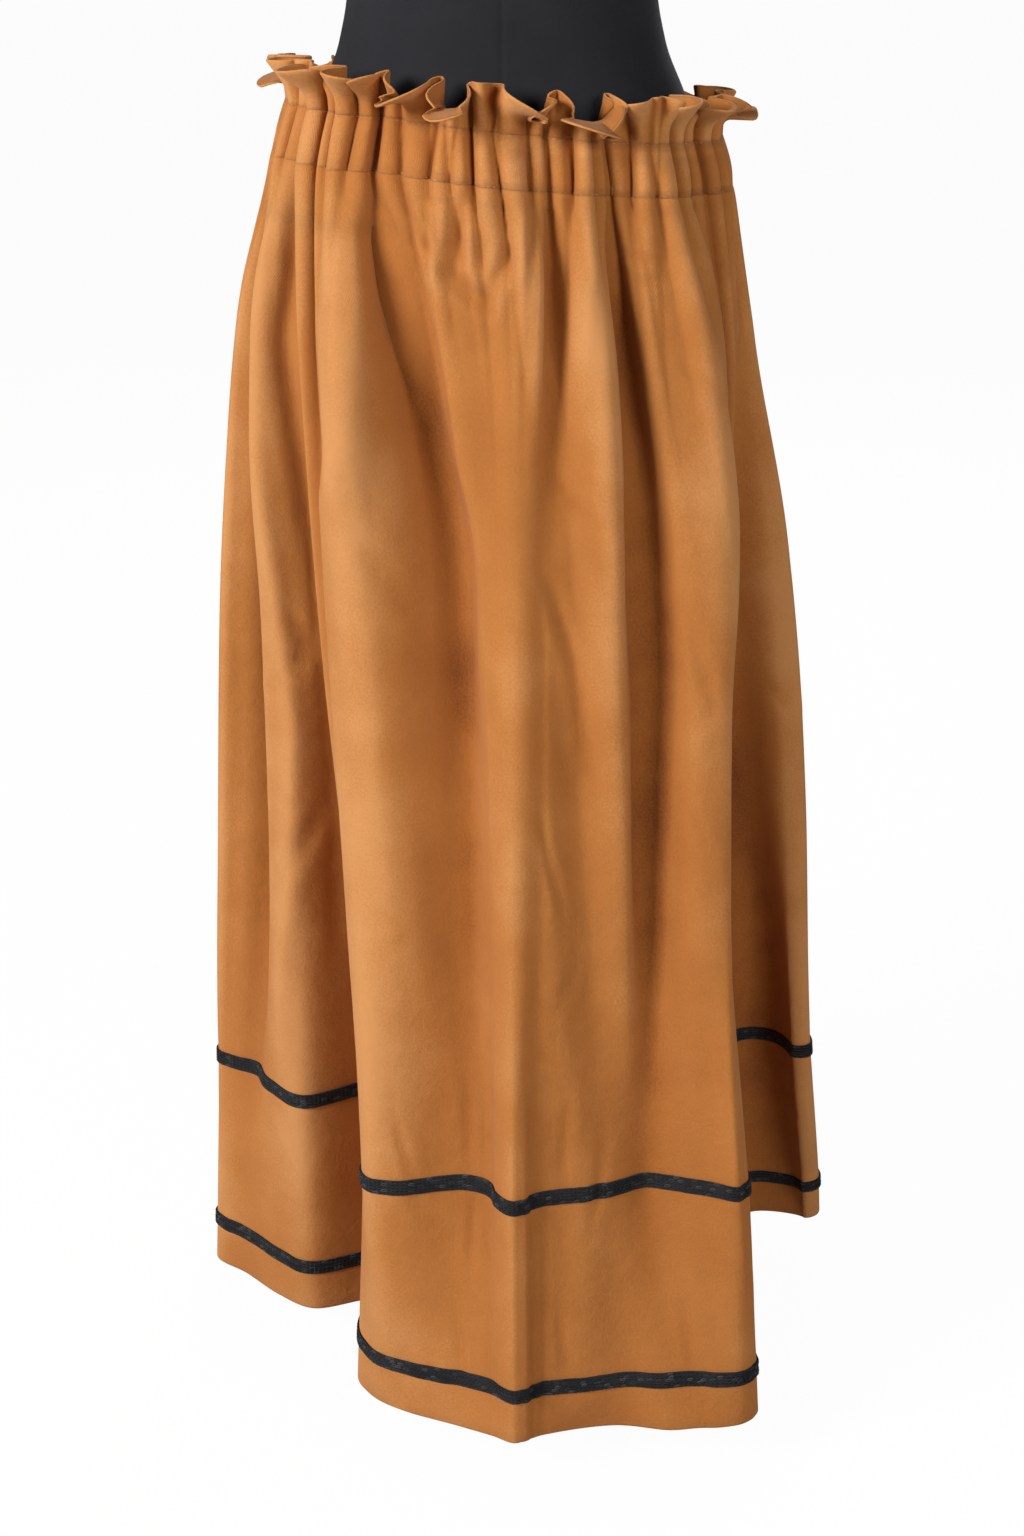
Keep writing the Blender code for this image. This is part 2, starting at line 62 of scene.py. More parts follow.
class Fold(NamedTuple):
    """A crest or hollow from the gathers to the hem: bearings in degrees, reaches in mm."""

    name: str
    turn_gather: float
    turn_thigh: float
    turn_shin: float
    turn_hem: float
    gather: float
    hip: float
    thigh: float
    knee: float
    shin: float
    hem: float


FOLDS = (
    Fold("left_lobe", 181, 181, 182, 183, 166, 200, 218, 233, 250, 262),
    Fold("left_dip", 190, 190, 190, 190, 158, 171, 179, 193, 219, 235),
    Fold("left_fold", 198, 198, 198, 200, 168, 190, 198, 199, 207, 212),
    Fold("left_roll", 203, 206, 208, 209, 155, 168, 169, 178, 191, 191),
    Fold("left_gap", 206, 212, 212, 217, 152, 160, 141, 131, 124, 134),
    Fold("front_left_edge", 209, 218, 236, 237, 160, 172, 179, 185, 203, 224),
    Fold("shoulder_dip", 213, 222, 240, 241, 149, 163, 175, 192, 222, 234),
    Fold("shoulder_fold", 217, 227, 244, 245, 158, 174, 182, 201, 235, 240),
    Fold("front_left_crest", 223, 236, 250, 252, 153, 173, 182, 200, 230, 245),
    Fold("front_hollow", 230, 257, 262, 262, 135, 131, 138, 170, 213, 252),
    Fold("ridge_foot", 254, 266, 267, 268, 132, 134, 154, 185, 219, 261),
    Fold("centre_ridge", 278, 274, 272, 272, 131, 145, 170, 203, 243, 270),
    Fold("ridge_side", 284, 280, 277, 277, 125, 139, 162, 193, 233, 262),
    Fold("centre_hollow", 290, 288, 289, 290, 128, 142, 163, 190, 223, 264),
    Fold("sharp_fold", 298, 297, 297, 298, 139, 163, 184, 209, 229, 288),
    Fold("right_hollow", 302, 303, 302, 302, 129, 143, 172, 203, 241, 297),
    Fold("right_slope", 307, 310, 306, 305, 134, 165, 201, 233, 262, 306),
    Fold("right_front_crest", 315, 315, 309, 308, 151, 177, 209, 240, 284, 313),
    Fold("right_fold", 324, 320, 310, 310, 157, 184, 211, 241, 288, 314),
    Fold("right_dip", 330, 324, 311, 311, 149, 167, 197, 236, 288, 313),
    Fold("far_right_fold", 338, 328, 312, 312, 163, 187, 201, 232, 287, 311),
    Fold("front_right_edge", 349, 331, 314, 313, 167, 181, 187, 223, 279, 305),
    Fold("right_gap", 354, 347, 349, 350, 163, 171, 157, 152, 158, 172),
    Fold("right_inner", 357, 354, 365, 373, 166, 181, 188, 198, 220, 238),
    Fold("right_face", 359, 358, 360, 368, 164, 188, 216, 238, 255, 286),
    Fold("right_lobe", 361, 361, 362, 371, 166, 194, 230, 254, 272, 304),
    Fold("right_back", 372, 372, 378, 384, 163, 187, 212, 236, 262, 292),
    Fold("back_gap_1", 386, 389, 392, 394, 154, 167, 176, 184, 196, 212),
    Fold("back_fold_1", 399, 402, 405, 406, 160, 183, 209, 236, 266, 290),
    Fold("back_gap_2", 412, 416, 417, 419, 148, 165, 176, 190, 212, 233),
    Fold("back_fold_2", 424, 428, 430, 432, 148, 174, 205, 233, 264, 286),
    Fold("back_gap_3", 437, 441, 443, 444, 140, 156, 165, 178, 198, 222),
    Fold("back_fold_3", 450, 454, 457, 458, 142, 166, 200, 234, 270, 296),
    Fold("back_gap_4", 462, 466, 471, 472, 140, 157, 174, 198, 230, 256),
    Fold("back_fold_4", 473, 478, 482, 482, 147, 172, 204, 232, 260, 280),
    Fold("back_gap_5", 487, 491, 494, 494, 146, 160, 167, 178, 196, 216),
    Fold("back_fold_5", 500, 502, 504, 505, 160, 182, 209, 233, 262, 286),
    Fold("back_gap_6", 512, 514, 515, 516, 155, 168, 175, 184, 202, 222),
    Fold("left_back_fold", 524, 525, 525, 526, 166, 191, 212, 230, 254, 274),
    Fold("left_back_dip", 533, 533, 534, 535, 163, 185, 200, 214, 232, 246),
)
FOLD_COUNT = len(FOLDS)
BANDS = {"upper_braid": 0.206, "lower_braid": 0.043}
RIGHT_SEAM = [fold.name for fold in FOLDS].index("right_back")
LEFT_SEAM = [fold.name for fold in FOLDS].index("left_back_dip")


class Section(NamedTuple):
    """A level section of the dress form, in metres."""

    height: float
    half_width: float
    front: float
    back: float


FORM_SECTIONS = (
    Section(0.800, 0.120, 0.080, 0.088),
    Section(0.808, 0.143, 0.099, 0.111),
    Section(0.850, 0.158, 0.112, 0.128),
    Section(0.900, 0.163, 0.118, 0.134),
    Section(0.950, 0.162, 0.119, 0.133),
    Section(1.000, 0.156, 0.117, 0.125),
    Section(1.030, 0.1455, 0.1115, 0.116),
    Section(1.060, 0.1340, 0.1040, 0.106),
    Section(1.095, 0.1195, 0.0960, 0.095),
    Section(1.135, 0.1125, 0.0920, 0.089),
    Section(1.190, 0.1205, 0.0990, 0.092),
    Section(1.260, 0.1370, 0.1150, 0.099),
    Section(1.320, 0.1480, 0.1230, 0.106),
    Section(1.390, 0.1560, 0.1090, 0.110),
    Section(1.440, 0.1620, 0.0900, 0.106),
    Section(1.475, 0.1590, 0.0760, 0.095),
    Section(1.500, 0.1360, 0.0670, 0.080),
    Section(1.520, 0.0990, 0.0600, 0.068),
    Section(1.540, 0.0690, 0.0550, 0.060),
    Section(1.562, 0.0570, 0.0520, 0.054),
    Section(1.620, 0.0535, 0.0505, 0.052),
)


# Gathers, creases and wide folds, placed on that form

class Pleat(NamedTuple):
    """A valley between two gathers: its share of the way round, depth in mm, run in mm, slant."""

    share: float
    depth: float
    run: float
    slant: float


PLEATS = (
    Pleat(0.000, 5.0, 90, 0.00), Pleat(0.026, 3.0, 40, 0.06), Pleat(0.053, 4.0, 70, -0.04),
    Pleat(0.079, 6.0, 150, 0.00), Pleat(0.103, 3.5, 60, 0.06), Pleat(0.123, 6.0, 170, 0.00),
    Pleat(0.141, 3.0, 45, -0.08), Pleat(0.160, 9.0, 160, 0.00), Pleat(0.181, 3.0, 50, 0.08),
    Pleat(0.203, 3.5, 45, -0.12), Pleat(0.219, 2.5, 35, 0.10), Pleat(0.235, 7.0, 60, 0.06),
    Pleat(0.254, 4.0, 50, 0.16), Pleat(0.275, 5.5, 110, 0.00), Pleat(0.290, 2.5, 40, 0.06),
    Pleat(0.307, 4.0, 50, -0.06), Pleat(0.325, 9.0, 120, 0.00), Pleat(0.343, 4.0, 60, 0.04),
    Pleat(0.360, 4.0, 55, -0.10), Pleat(0.378, 3.0, 45, 0.06), Pleat(0.398, 8.0, 150, 0.04),
    Pleat(0.421, 4.0, 70, 0.00), Pleat(0.439, 5.5, 120, 0.00), Pleat(0.457, 4.0, 60, 0.00),
    Pleat(0.478, 5.0, 95, 0.00), Pleat(0.503, 3.0, 45, 0.04), Pleat(0.526, 6.0, 110, -0.04),
    Pleat(0.551, 4.0, 60, 0.06), Pleat(0.572, 7.0, 140, 0.00), Pleat(0.597, 3.0, 50, -0.06),
    Pleat(0.617, 5.0, 80, 0.04), Pleat(0.641, 7.5, 150, 0.00), Pleat(0.662, 3.0, 40, 0.10),
    Pleat(0.684, 4.5, 75, -0.08), Pleat(0.708, 7.0, 130, 0.04), Pleat(0.731, 3.5, 55, 0.00),
    Pleat(0.752, 5.5, 105, 0.06), Pleat(0.777, 3.5, 50, -0.06), Pleat(0.797, 7.5, 160, 0.00),
    Pleat(0.822, 4.0, 60, 0.08), Pleat(0.845, 5.0, 85, -0.04), Pleat(0.870, 7.0, 130, 0.00),
    Pleat(0.892, 3.0, 45, 0.06), Pleat(0.915, 6.0, 110, -0.06), Pleat(0.941, 3.5, 55, 0.04),
    Pleat(0.969, 5.5, 95, 0.00),
)


class Crease(NamedTuple):
    """A crease line between two places (station, height), with its depth and width in mm."""

    name: str
    start: tuple[float, float]
    end: tuple[float, float]
    depth: float
    width: float


CREASES = (
    Crease("slant_upper", (12.4, 0.806), (13.6, 0.777), 1.6, 5.0),
    Crease("slant_lower", (13.6, 0.777), (13.8, 0.735), 1.1, 6.0),
    Crease("long_upper", (12.2, 0.729), (13.1, 0.669), 1.5, 6.0),
    Crease("long_lower", (13.1, 0.669), (13.4, 0.585), 1.1, 7.0),
    Crease("left_cross", (2.3, 0.609), (3.2, 0.648), 1.8, 5.0),
    Crease("left_drop", (2.6, 0.672), (3.1, 0.645), 1.5, 5.0),
    Crease("left_low", (3.3, 0.513), (2.4, 0.440), 1.3, 6.0),
    Crease("waist_cross", (16.0, 0.966), (17.3, 0.960), 1.2, 3.5),
    Crease("waist_cross_low", (16.1, 0.945), (17.0, 0.950), 0.8, 4.0),
    Crease("right_cross", (23.6, 0.600), (24.4, 0.582), 1.6, 5.0),
    Crease("right_low", (23.6, 0.189), (24.3, 0.175), 1.2, 4.0),
    Crease("press_line", (11.45, 0.330), (11.45, 0.045), -0.9, 2.5),
    Crease("press_side", (12.1, 0.250), (12.0, 0.050), 0.6, 3.0),
    Crease("faint_low", (11.3, 0.236), (12.6, 0.214), 0.9, 4.0),
    Crease("pocket_left", (10.2, 1.000), (9.9, 0.940), 3.0, 5.0),
    Crease("pocket_foot", (9.9, 0.942), (10.35, 0.925), 3.0, 6.0),
    Crease("pocket_right", (10.35, 0.925), (10.75, 0.965), 2.2, 5.0),
    Crease("shoulder_slant", (7.6, 0.760), (8.6, 0.690), 1.0, 8.0),
    Crease("front_soft_1", (8.6, 0.520), (9.0, 0.350), 1.2, 12.0),
    Crease("front_soft_2", (16.2, 0.420), (16.9, 0.180), 1.4, 14.0),
    Crease("front_soft_3", (14.2, 0.330), (14.6, 0.120), 1.2, 12.0),
    Crease("back_cross_1", (28.2, 0.640), (29.3, 0.600), 1.6, 5.0),
    Crease("back_cross_2", (31.6, 0.430), (32.7, 0.470), 1.5, 6.0),
    Crease("back_cross_3", (34.0, 0.770), (34.8, 0.720), 1.3, 5.0),
    Crease("back_drop", (36.1, 0.560), (36.5, 0.420), 1.2, 8.0),
    Crease("back_slant", (29.9, 0.830), (30.6, 0.780), 1.3, 5.0),
    Crease("left_side", (38.4, 0.480), (39.4, 0.520), 1.4, 5.0),
    Crease("plateau_1", (11.7, 0.560), (12.5, 0.480), 1.0, 4.0),
    Crease("plateau_2", (12.9, 0.450), (12.2, 0.400), 0.8, 4.0),
    Crease("plateau_3", (11.6, 0.380), (12.6, 0.352), 0.7, 3.5),
    Crease("plateau_4", (13.3, 0.300), (12.7, 0.200), 0.8, 5.0),
    Crease("above_band_1", (7.9, 0.300), (8.15, 0.262), 1.0, 3.5),
    Crease("above_band_2", (9.0, 0.330), (9.1, 0.264), 0.9, 4.0),
    Crease("above_band_3", (12.5, 0.330), (12.4, 0.262), 0.9, 4.0),
    Crease("under_band_1", (8.1, 0.240), (8.7, 0.205), 0.9, 4.0),
    Crease("under_band_2", (9.3, 0.238), (9.2, 0.180), 0.8, 4.0),
    Crease("low_band_1", (8.9, 0.130), (9.0, 0.096), 1.0, 4.0),
    Crease("low_band_2", (12.3, 0.150), (12.4, 0.097), 0.9, 4.0),
    Crease("low_band_3", (15.2, 0.150), (15.1, 0.098), 0.9, 4.0),
    Crease("right_front_1", (16.3, 0.700), (16.9, 0.640), 0.9, 4.5),
    Crease("right_front_2", (15.9, 0.560), (16.6, 0.520), 0.8, 4.0),
    Crease("shoulder_1", (17.2, 0.890), (18.2, 0.860), 1.1, 4.0),
    Crease("waist_short_1", (9.4, 0.985), (9.7, 0.955), 1.3, 3.5),
    Crease("waist_short_2", (11.3, 0.992), (11.1, 0.958), 1.3, 3.5),
    Crease("waist_short_3", (13.4, 0.990), (13.6, 0.950), 1.2, 3.5),
)


class Waypoint(NamedTuple):
    """A place on a wide fold: height in metres, station, and size and widths in mm."""

    height: float
    station: float
    size: float
    left: float
    right: float


class WideFold(NamedTuple):
    """A wide crest, or a hollow where its sizes are below nought, with its way down."""

    name: str
    way: tuple[Waypoint, ...]


WIDE_FOLDS = (
    WideFold("front_left_bank", (
        Waypoint(0.998, 8.10, 0, 20, 10), Waypoint(0.932, 8.25, 7, 20, 10),
        Waypoint(0.876, 8.15, 10, 24, 12), Waypoint(0.820, 7.90, 9, 22, 18),
        Waypoint(0.754, 6.70, 8, 14, 30), Waypoint(0.661, 6.50, 7, 10, 32),
        Waypoint(0.568, 6.30, 6, 9, 32), Waypoint(0.448, 6.00, 6, 9, 32),
        Waypoint(0.316, 6.30, 4, 9, 34), Waypoint(0.120, 6.50, 1, 9, 30))),
    WideFold("front_groove", (
        Waypoint(0.990, 8.80, 0, 14, 10), Waypoint(0.945, 8.86, -12, 16, 12),
        Waypoint(0.876, 8.92, -15, 20, 12), Waypoint(0.820, 8.90, -14, 24, 12),
        Waypoint(0.754, 8.96, -11, 30, 13), Waypoint(0.661, 9.00, -7, 30, 12),
        Waypoint(0.568, 9.08, -6, 30, 12), Waypoint(0.448, 9.15, -5, 34, 14),
        Waypoint(0.316, 9.50, -4, 40, 14), Waypoint(0.180, 9.70, 0, 40, 14))),
    WideFold("front_overlap", (
        Waypoint(0.990, 9.40, 0, 6, 24), Waypoint(0.945, 9.50, 8, 7, 24),
        Waypoint(0.876, 9.55, 11, 7, 28), Waypoint(0.820, 9.55, 12, 7, 32),
        Waypoint(0.754, 9.95, 9, 12, 32), Waypoint(0.661, 10.15, 8, 12, 32),
        Waypoint(0.568, 10.35, 7, 11, 30), Waypoint(0.448, 10.45, 5, 10, 28),
        Waypoint(0.316, 10.45, 4, 8, 26), Waypoint(0.090, 10.45, 2, 8, 24))),
    WideFold("middle_swell", (
        Waypoint(0.995, 11.15, 2, 12, 9), Waypoint(0.932, 11.20, 6, 16, 11),
        Waypoint(0.850, 11.50, 5, 18, 14), Waypoint(0.750, 11.80, 0, 20, 20))),
    WideFold("middle_groove", (
        Waypoint(0.995, 12.00, -3, 6, 8), Waypoint(0.932, 12.20, -8, 8, 12),
        Waypoint(0.876, 12.20, -6, 8, 12), Waypoint(0.820, 12.50, -3, 10, 12),
        Waypoint(0.760, 12.70, 0, 12, 12))),
    WideFold("ridge_flank", (
        Waypoint(0.830, 12.30, 0, 24, 24), Waypoint(0.754, 12.20, 7, 24, 30),
        Waypoint(0.661, 12.10, 9, 22, 32), Waypoint(0.450, 12.30, 10, 24, 36),
        Waypoint(0.250, 12.80, 10, 26, 38), Waypoint(0.060, 12.60, 4, 24, 34))),
    WideFold("right_bank", (
        Waypoint(0.998, 14.10, 0, 18, 8), Waypoint(0.932, 14.20, 7, 22, 9),
        Waypoint(0.876, 14.20, 9, 24, 9), Waypoint(0.820, 14.20, 8, 24, 9),
        Waypoint(0.754, 14.00, 6, 24, 10), Waypoint(0.661, 13.80, 5, 26, 11),
        Waypoint(0.568, 13.70, 2, 26, 12), Waypoint(0.448, 13.60, 1, 26, 14),
        Waypoint(0.300, 13.60, 0, 30, 16))),
    WideFold("right_groove", (
        Waypoint(0.998, 15.20, 0, 10, 8), Waypoint(0.932, 15.38, -12, 13, 9),
        Waypoint(0.876, 15.44, -13, 15, 11), Waypoint(0.820, 15.48, -13, 13, 16),
        Waypoint(0.754, 15.44, -12, 13, 22), Waypoint(0.661, 15.40, -11, 13, 24),
        Waypoint(0.568, 15.15, -9, 13, 24), Waypoint(0.448, 14.80, -7, 13, 22),
        Waypoint(0.316, 14.70, -3, 14, 20), Waypoint(0.180, 14.70, 0, 14, 20))),
    WideFold("right_shoulder", (
        Waypoint(0.998, 18.40, 0, 18, 16), Waypoint(0.950, 18.50, 13, 22, 18),
        Waypoint(0.885, 18.50, 20, 25, 18), Waypoint(0.800, 18.30, 19, 27, 15),
        Waypoint(0.720, 17.90, 15, 27, 12), Waypoint(0.620, 17.60, 11, 26, 8),
        Waypoint(0.500, 17.60, 8, 26, 7), Waypoint(0.350, 17.60, 4, 26, 6),
        Waypoint(0.150, 17.80, 0, 26, 6))),
    WideFold("right_lobe_face", (
        Waypoint(0.900, 22.90, 0, 22, 18), Waypoint(0.760, 22.90, -17, 28, 20),
        Waypoint(0.620, 23.00, -22, 32, 22), Waypoint(0.450, 23.10, -23, 36, 24),
        Waypoint(0.250, 23.30, -20, 38, 26), Waypoint(0.120, 23.50, -15, 38, 26),
        Waypoint(0.045, 23.70, -11, 36, 26))),
    WideFold("left_groove", (
        Waypoint(0.998, 2.85, 0, 7, 7), Waypoint(0.932, 2.88, -9, 8, 8),
        Waypoint(0.876, 2.72, -8, 8, 8), Waypoint(0.820, 2.85, -8, 8, 9),
        Waypoint(0.754, 3.08, -8, 9, 9), Waypoint(0.661, 3.25, -4, 9, 10),
        Waypoint(0.568, 3.40, -3, 9, 9), Waypoint(0.448, 3.45, -3, 9, 9),
        Waypoint(0.350, 3.45, 0, 9, 9))),
    WideFold("left_flank", (
        Waypoint(0.998, 0.75, 0, 9, 9), Waypoint(0.932, 0.72, -11, 11, 10),
        Waypoint(0.820, 0.85, -13, 12, 12), Waypoint(0.661, 0.85, -15, 13, 13),
        Waypoint(0.568, 0.95, -16, 14, 14), Waypoint(0.448, 0.98, -14, 14, 14),
        Waypoint(0.316, 1.00, -7, 14, 13), Waypoint(0.180, 1.05, 0, 14, 12))),
    WideFold("left_rim", (
        Waypoint(0.985, 0.05, 0, 12, 6), Waypoint(0.900, 0.05, 4, 14, 7),
        Waypoint(0.600, 0.10, 6, 16, 8), Waypoint(0.400, 0.15, 5, 16, 8),
        Waypoint(0.200, 0.15, 0, 16, 8))),
    WideFold("left_crest", (
        Waypoint(0.998, 2.00, 0, 8, 7), Waypoint(0.932, 1.95, 4, 9, 7),
        Waypoint(0.820, 2.05, 5, 10, 8), Waypoint(0.754, 2.25, 6, 11, 9),
        Waypoint(0.661, 2.55, 7, 12, 9), Waypoint(0.568, 2.80, 9, 13, 9),
        Waypoint(0.448, 2.75, 8, 14, 10), Waypoint(0.316, 2.40, 4, 16, 14),
        Waypoint(0.180, 2.30, 0, 16, 14))),
    WideFold("back_swell_right", (
        Waypoint(0.970, 28.20, 0, 14, 8), Waypoint(0.900, 28.20, 8, 18, 8),
        Waypoint(0.750, 28.10, 9, 20, 8), Waypoint(0.500, 28.00, 5, 22, 12),
        Waypoint(0.300, 28.00, 0, 22, 14))),
    WideFold("back_groove_right", (
        Waypoint(0.985, 29.10, -3, 8, 16), Waypoint(0.900, 29.00, -9, 8, 18),
        Waypoint(0.700, 29.00, -8, 10, 20), Waypoint(0.450, 29.00, -4, 12, 20),
        Waypoint(0.300, 29.00, 0, 12, 20))),
    WideFold("back_groove_middle", (
        Waypoint(0.985, 31.20, -3, 14, 7), Waypoint(0.880, 31.10, -8, 16, 7),
        Waypoint(0.620, 31.00, -7, 18, 9), Waypoint(0.350, 31.00, 0, 20, 12))),
    WideFold("back_swell_middle", (
        Waypoint(0.970, 32.00, 0, 7, 22), Waypoint(0.880, 32.00, 9, 7, 24),
        Waypoint(0.600, 32.00, 6, 10, 26), Waypoint(0.200, 32.00, 2, 12, 26),
        Waypoint(0.080, 32.00, 0, 12, 26))),
    WideFold("back_groove_left", (
        Waypoint(0.985, 35.10, -3, 9, 12), Waypoint(0.850, 35.10, -8, 9, 14),
        Waypoint(0.600, 35.00, -6, 12, 16), Waypoint(0.400, 35.00, 0, 12, 16))),
    WideFold("back_swell_left", (
        Waypoint(0.970, 36.00, 0, 10, 12), Waypoint(0.870, 35.90, 7, 10, 14),
        Waypoint(0.500, 36.00, 5, 12, 16), Waypoint(0.250, 36.00, 0, 12, 16))),
    WideFold("left_side_groove", (
        Waypoint(0.985, 37.90, -3, 10, 8), Waypoint(0.900, 37.90, -6, 10, 8),
        Waypoint(0.700, 38.00, -5, 12, 10), Waypoint(0.500, 38.00, 0, 12, 10))),
)


class EdgePoint(NamedTuple):
    """A corner of the heading's top edge: bearing and lean in degrees, out and slide in mm."""

    bearing: float
    lean: float
    out: float
    slide: float


EDGE = (
    EdgePoint(182, 8, 2, -5), EdgePoint(189, 0, -4, 5), EdgePoint(196, 18, 4, -6),
    EdgePoint(203, -3, -5, 6), EdgePoint(209, 46, 5, -7), EdgePoint(216, 0, -4, 4),
    EdgePoint(221, 26, 4, 4), EdgePoint(226, 50, 4, -6), EdgePoint(231, 0, -4, 4),
    EdgePoint(239, 102, 5, -2), EdgePoint(248, 0, -5, 3), EdgePoint(254, 124, 6, 4),
    EdgePoint(261, 4, -1, -3), EdgePoint(268, -4, -5, 3), EdgePoint(277, 108, 6, 2),
    EdgePoint(287, 0, -5, 2), EdgePoint(298, 138, 7, -3), EdgePoint(304, 0, -4, 4),
    EdgePoint(310, 46, 5, -5), EdgePoint(316, -2, -5, 4), EdgePoint(323, 42, 4, -5),
    EdgePoint(331, 0, -5, 5), EdgePoint(338, 54, 5, -5), EdgePoint(344, 2, -4, 3),
    EdgePoint(351, 92, 6, 0), EdgePoint(359, 0, -5, 4), EdgePoint(366, 32, 5, -5),
    EdgePoint(375, -2, -4, 3), EdgePoint(385, 100, 5, 3), EdgePoint(394, 0, -5, 4),
    EdgePoint(401, 38, 5, -5), EdgePoint(409, 0, -4, 4), EdgePoint(418, 92, 5, -2),
    EdgePoint(428, 0, -5, 3), EdgePoint(437, 32, 5, -6), EdgePoint(445, -3, -4, 4),
    EdgePoint(456, 122, 6, 2), EdgePoint(465, 0, -5, 4), EdgePoint(473, 44, 5, -5),
    EdgePoint(482, 0, -5, 3), EdgePoint(492, 100, 6, 2), EdgePoint(501, 30, -2, 4),
    EdgePoint(510, 118, 4, -4), EdgePoint(519, 62, -3, 3), EdgePoint(528, 120, 2, 0),
    EdgePoint(535, 22, -4, 3),
)


class PieceBody(Enum):
    """The body that every piece rides on: the part has no joints."""

    ROOT = "root"


class Slot(Enum):
    """The record's material slots."""

    COTTON = "ochre_cotton"
    THREAD = "black_thread"
    JERSEY = "form_jersey"
    CAP = "cap_paint"
    STEEL = "stand_steel"


# Curves and tables

def monotone(xs: np.ndarray, ys: np.ndarray, at: np.ndarray) -> np.ndarray:
    """Smooth line through a table that never overshoots it.

    Args:
        xs: Rising places, one for each row of ys.
        ys: Values, one row for each place.
        at: Places to read.

    Returns:
        One row of values for each place read.
    """
    at = np.clip(np.atleast_1d(at), xs[0], xs[-1])
    steps = np.diff(xs)
    slopes = np.diff(ys, axis=0) / steps.reshape((-1,) + (1,) * (ys.ndim - 1))
    product = slopes[:-1] * slopes[1:]
    total = slopes[:-1] + slopes[1:]
    inner = np.where(product > 0.0, 2.0 * product / np.where(total == 0.0, 1.0, total), 0.0)
    tangents = np.concatenate([slopes[:1], inner, slopes[-1:]])
    index = np.clip(np.searchsorted(xs, at, side="right") - 1, 0, len(xs) - 2)
    shape = (-1,) + (1,) * (ys.ndim - 1)
    span = steps[index].reshape(shape)
    t = ((at - xs[index]) / steps[index]).reshape(shape)
    start = ys[index] * (1 + 2 * t) * (1 - t) ** 2 + tangents[index] * span * t * (1 - t) ** 2
    end = ys[index + 1] * t * t * (3 - 2 * t) + tangents[index + 1] * span * t * t * (t - 1)
    return start + end


def closed_curve(points: np.ndarray, stations: np.ndarray) -> np.ndarray:
    """Places on the closed centripetal curve through plan points.

    Args:
        points: Plan points, one row each.
        stations: A point's index and the part of the way to the next, for each place.

    Returns:
        Plan places, one row for each station.
    """
    count = len(points)
    index = np.floor(stations).astype(int)
    t = (stations - index)[:, None]
    near = [points[(index + step) % count] for step in (-1, 0, 1, 2)]
    knots = [np.zeros((len(stations), 1))]
    for a, b in zip(near, near[1:]):
        knots.append(knots[-1] + np.linalg.norm(b - a, axis=1, keepdims=True) ** 0.5)
    at = knots[1] + t * (knots[2] - knots[1])

    def mix(a: np.ndarray, b: np.ndarray, low: np.ndarray, high: np.ndarray) -> np.ndarray:
        """The place between two that stands at the knot value asked for."""
        return a + (b - a) * (at - low) / (high - low)

    first = [mix(near[i], near[i + 1], knots[i], knots[i + 1]) for i in range(3)]
    second = [mix(first[i], first[i + 1], knots[i], knots[i + 2]) for i in range(2)]
    return mix(second[0], second[1], knots[1], knots[2])


def level_normals(ring: np.ndarray) -> np.ndarray:
    """Level outward unit normals of a closed ring that runs anticlockwise seen from above."""
    along = np.roll(ring, -1, axis=0) - np.roll(ring, 1, axis=0)
    out = np.stack([along[:, 1], -along[:, 0]], axis=1)
    return out / np.linalg.norm(out, axis=1, keepdims=True)


def standing_normals(ring: np.ndarray) -> np.ndarray:
    """The level outward normals of a closed ring in space."""
    return np.column_stack([level_normals(ring[:, :2]), np.zeros(len(ring))])


def run_along(ring: np.ndarray) -> np.ndarray:
    """Length along a line of points, from its start to each point."""
    return np.concatenate([[0.0], np.cumsum(np.linalg.norm(np.diff(ring, axis=0), axis=1))])


def hollow_shade_mask(ring: np.ndarray, reaches: Sequence[int] = (6, 16, 34),
               sizes: Sequence[float] = (0.0080, 0.0160, 0.0420)) -> np.ndarray:
    """How far each point of a closed ring lies into its hollow: the mask for painted shade in hollows
    and painted highlight on crests.

    Args:
        ring: The ring's points.
        reaches: How many points on each side the ring's averages take in.
        sizes: The depth under each average that counts as a full hollow, in metres.

    Returns:
        1 in a hollow, 0 on a crest, and 0.5 where the ring is even.
    """
    plan = ring[:, :2]
    out = level_normals(plan)
    depth = np.zeros(len(plan))
    for reach, size in zip(reaches, sizes):
        total = sum(np.roll(plan, step, axis=0) for step in range(-reach, reach + 1))
        mean = total / (2 * reach + 1)
        depth += ((mean - plan) * out).sum(axis=1) / size / HOLLOW_SPREAD
    return np.clip(0.5 + 0.5 * depth, 0.0, 1.0)


def smooth_step(value: np.ndarray) -> np.ndarray:
    """Eased rise from 0 to 1 over the unit range."""
    value = np.clip(value, 0.0, 1.0)
    return value * value * (3.0 - 2.0 * value)


# Surfaces

@dataclass(frozen=True)
class DressFormShape:
    """The dress form's skin, which the cloth keeps clear of."""

    roundness: float = 2.25
    skip: float = 0.02

    def reach(self, bearing: np.ndarray, height: np.ndarray) -> np.ndarray:
        """Distance from the axis to the skin.

        Args:
            bearing: Bearings in radians.
            height: Heights in metres, one for each bearing.

        Returns:
            One reach in metres for each bearing.
        """
        table = np.array(FORM_SECTIONS)
        at = monotone(table[:, 0], table[:, 1:], height)
        depth = np.where(np.sin(bearing) < 0.0, at[:, 1], at[:, 2])
        across = np.abs(np.cos(bearing) / at[:, 0]) ** self.roundness
        along = np.abs(np.sin(bearing) / depth) ** self.roundness
        return (across + along) ** (-1.0 / self.roundness)


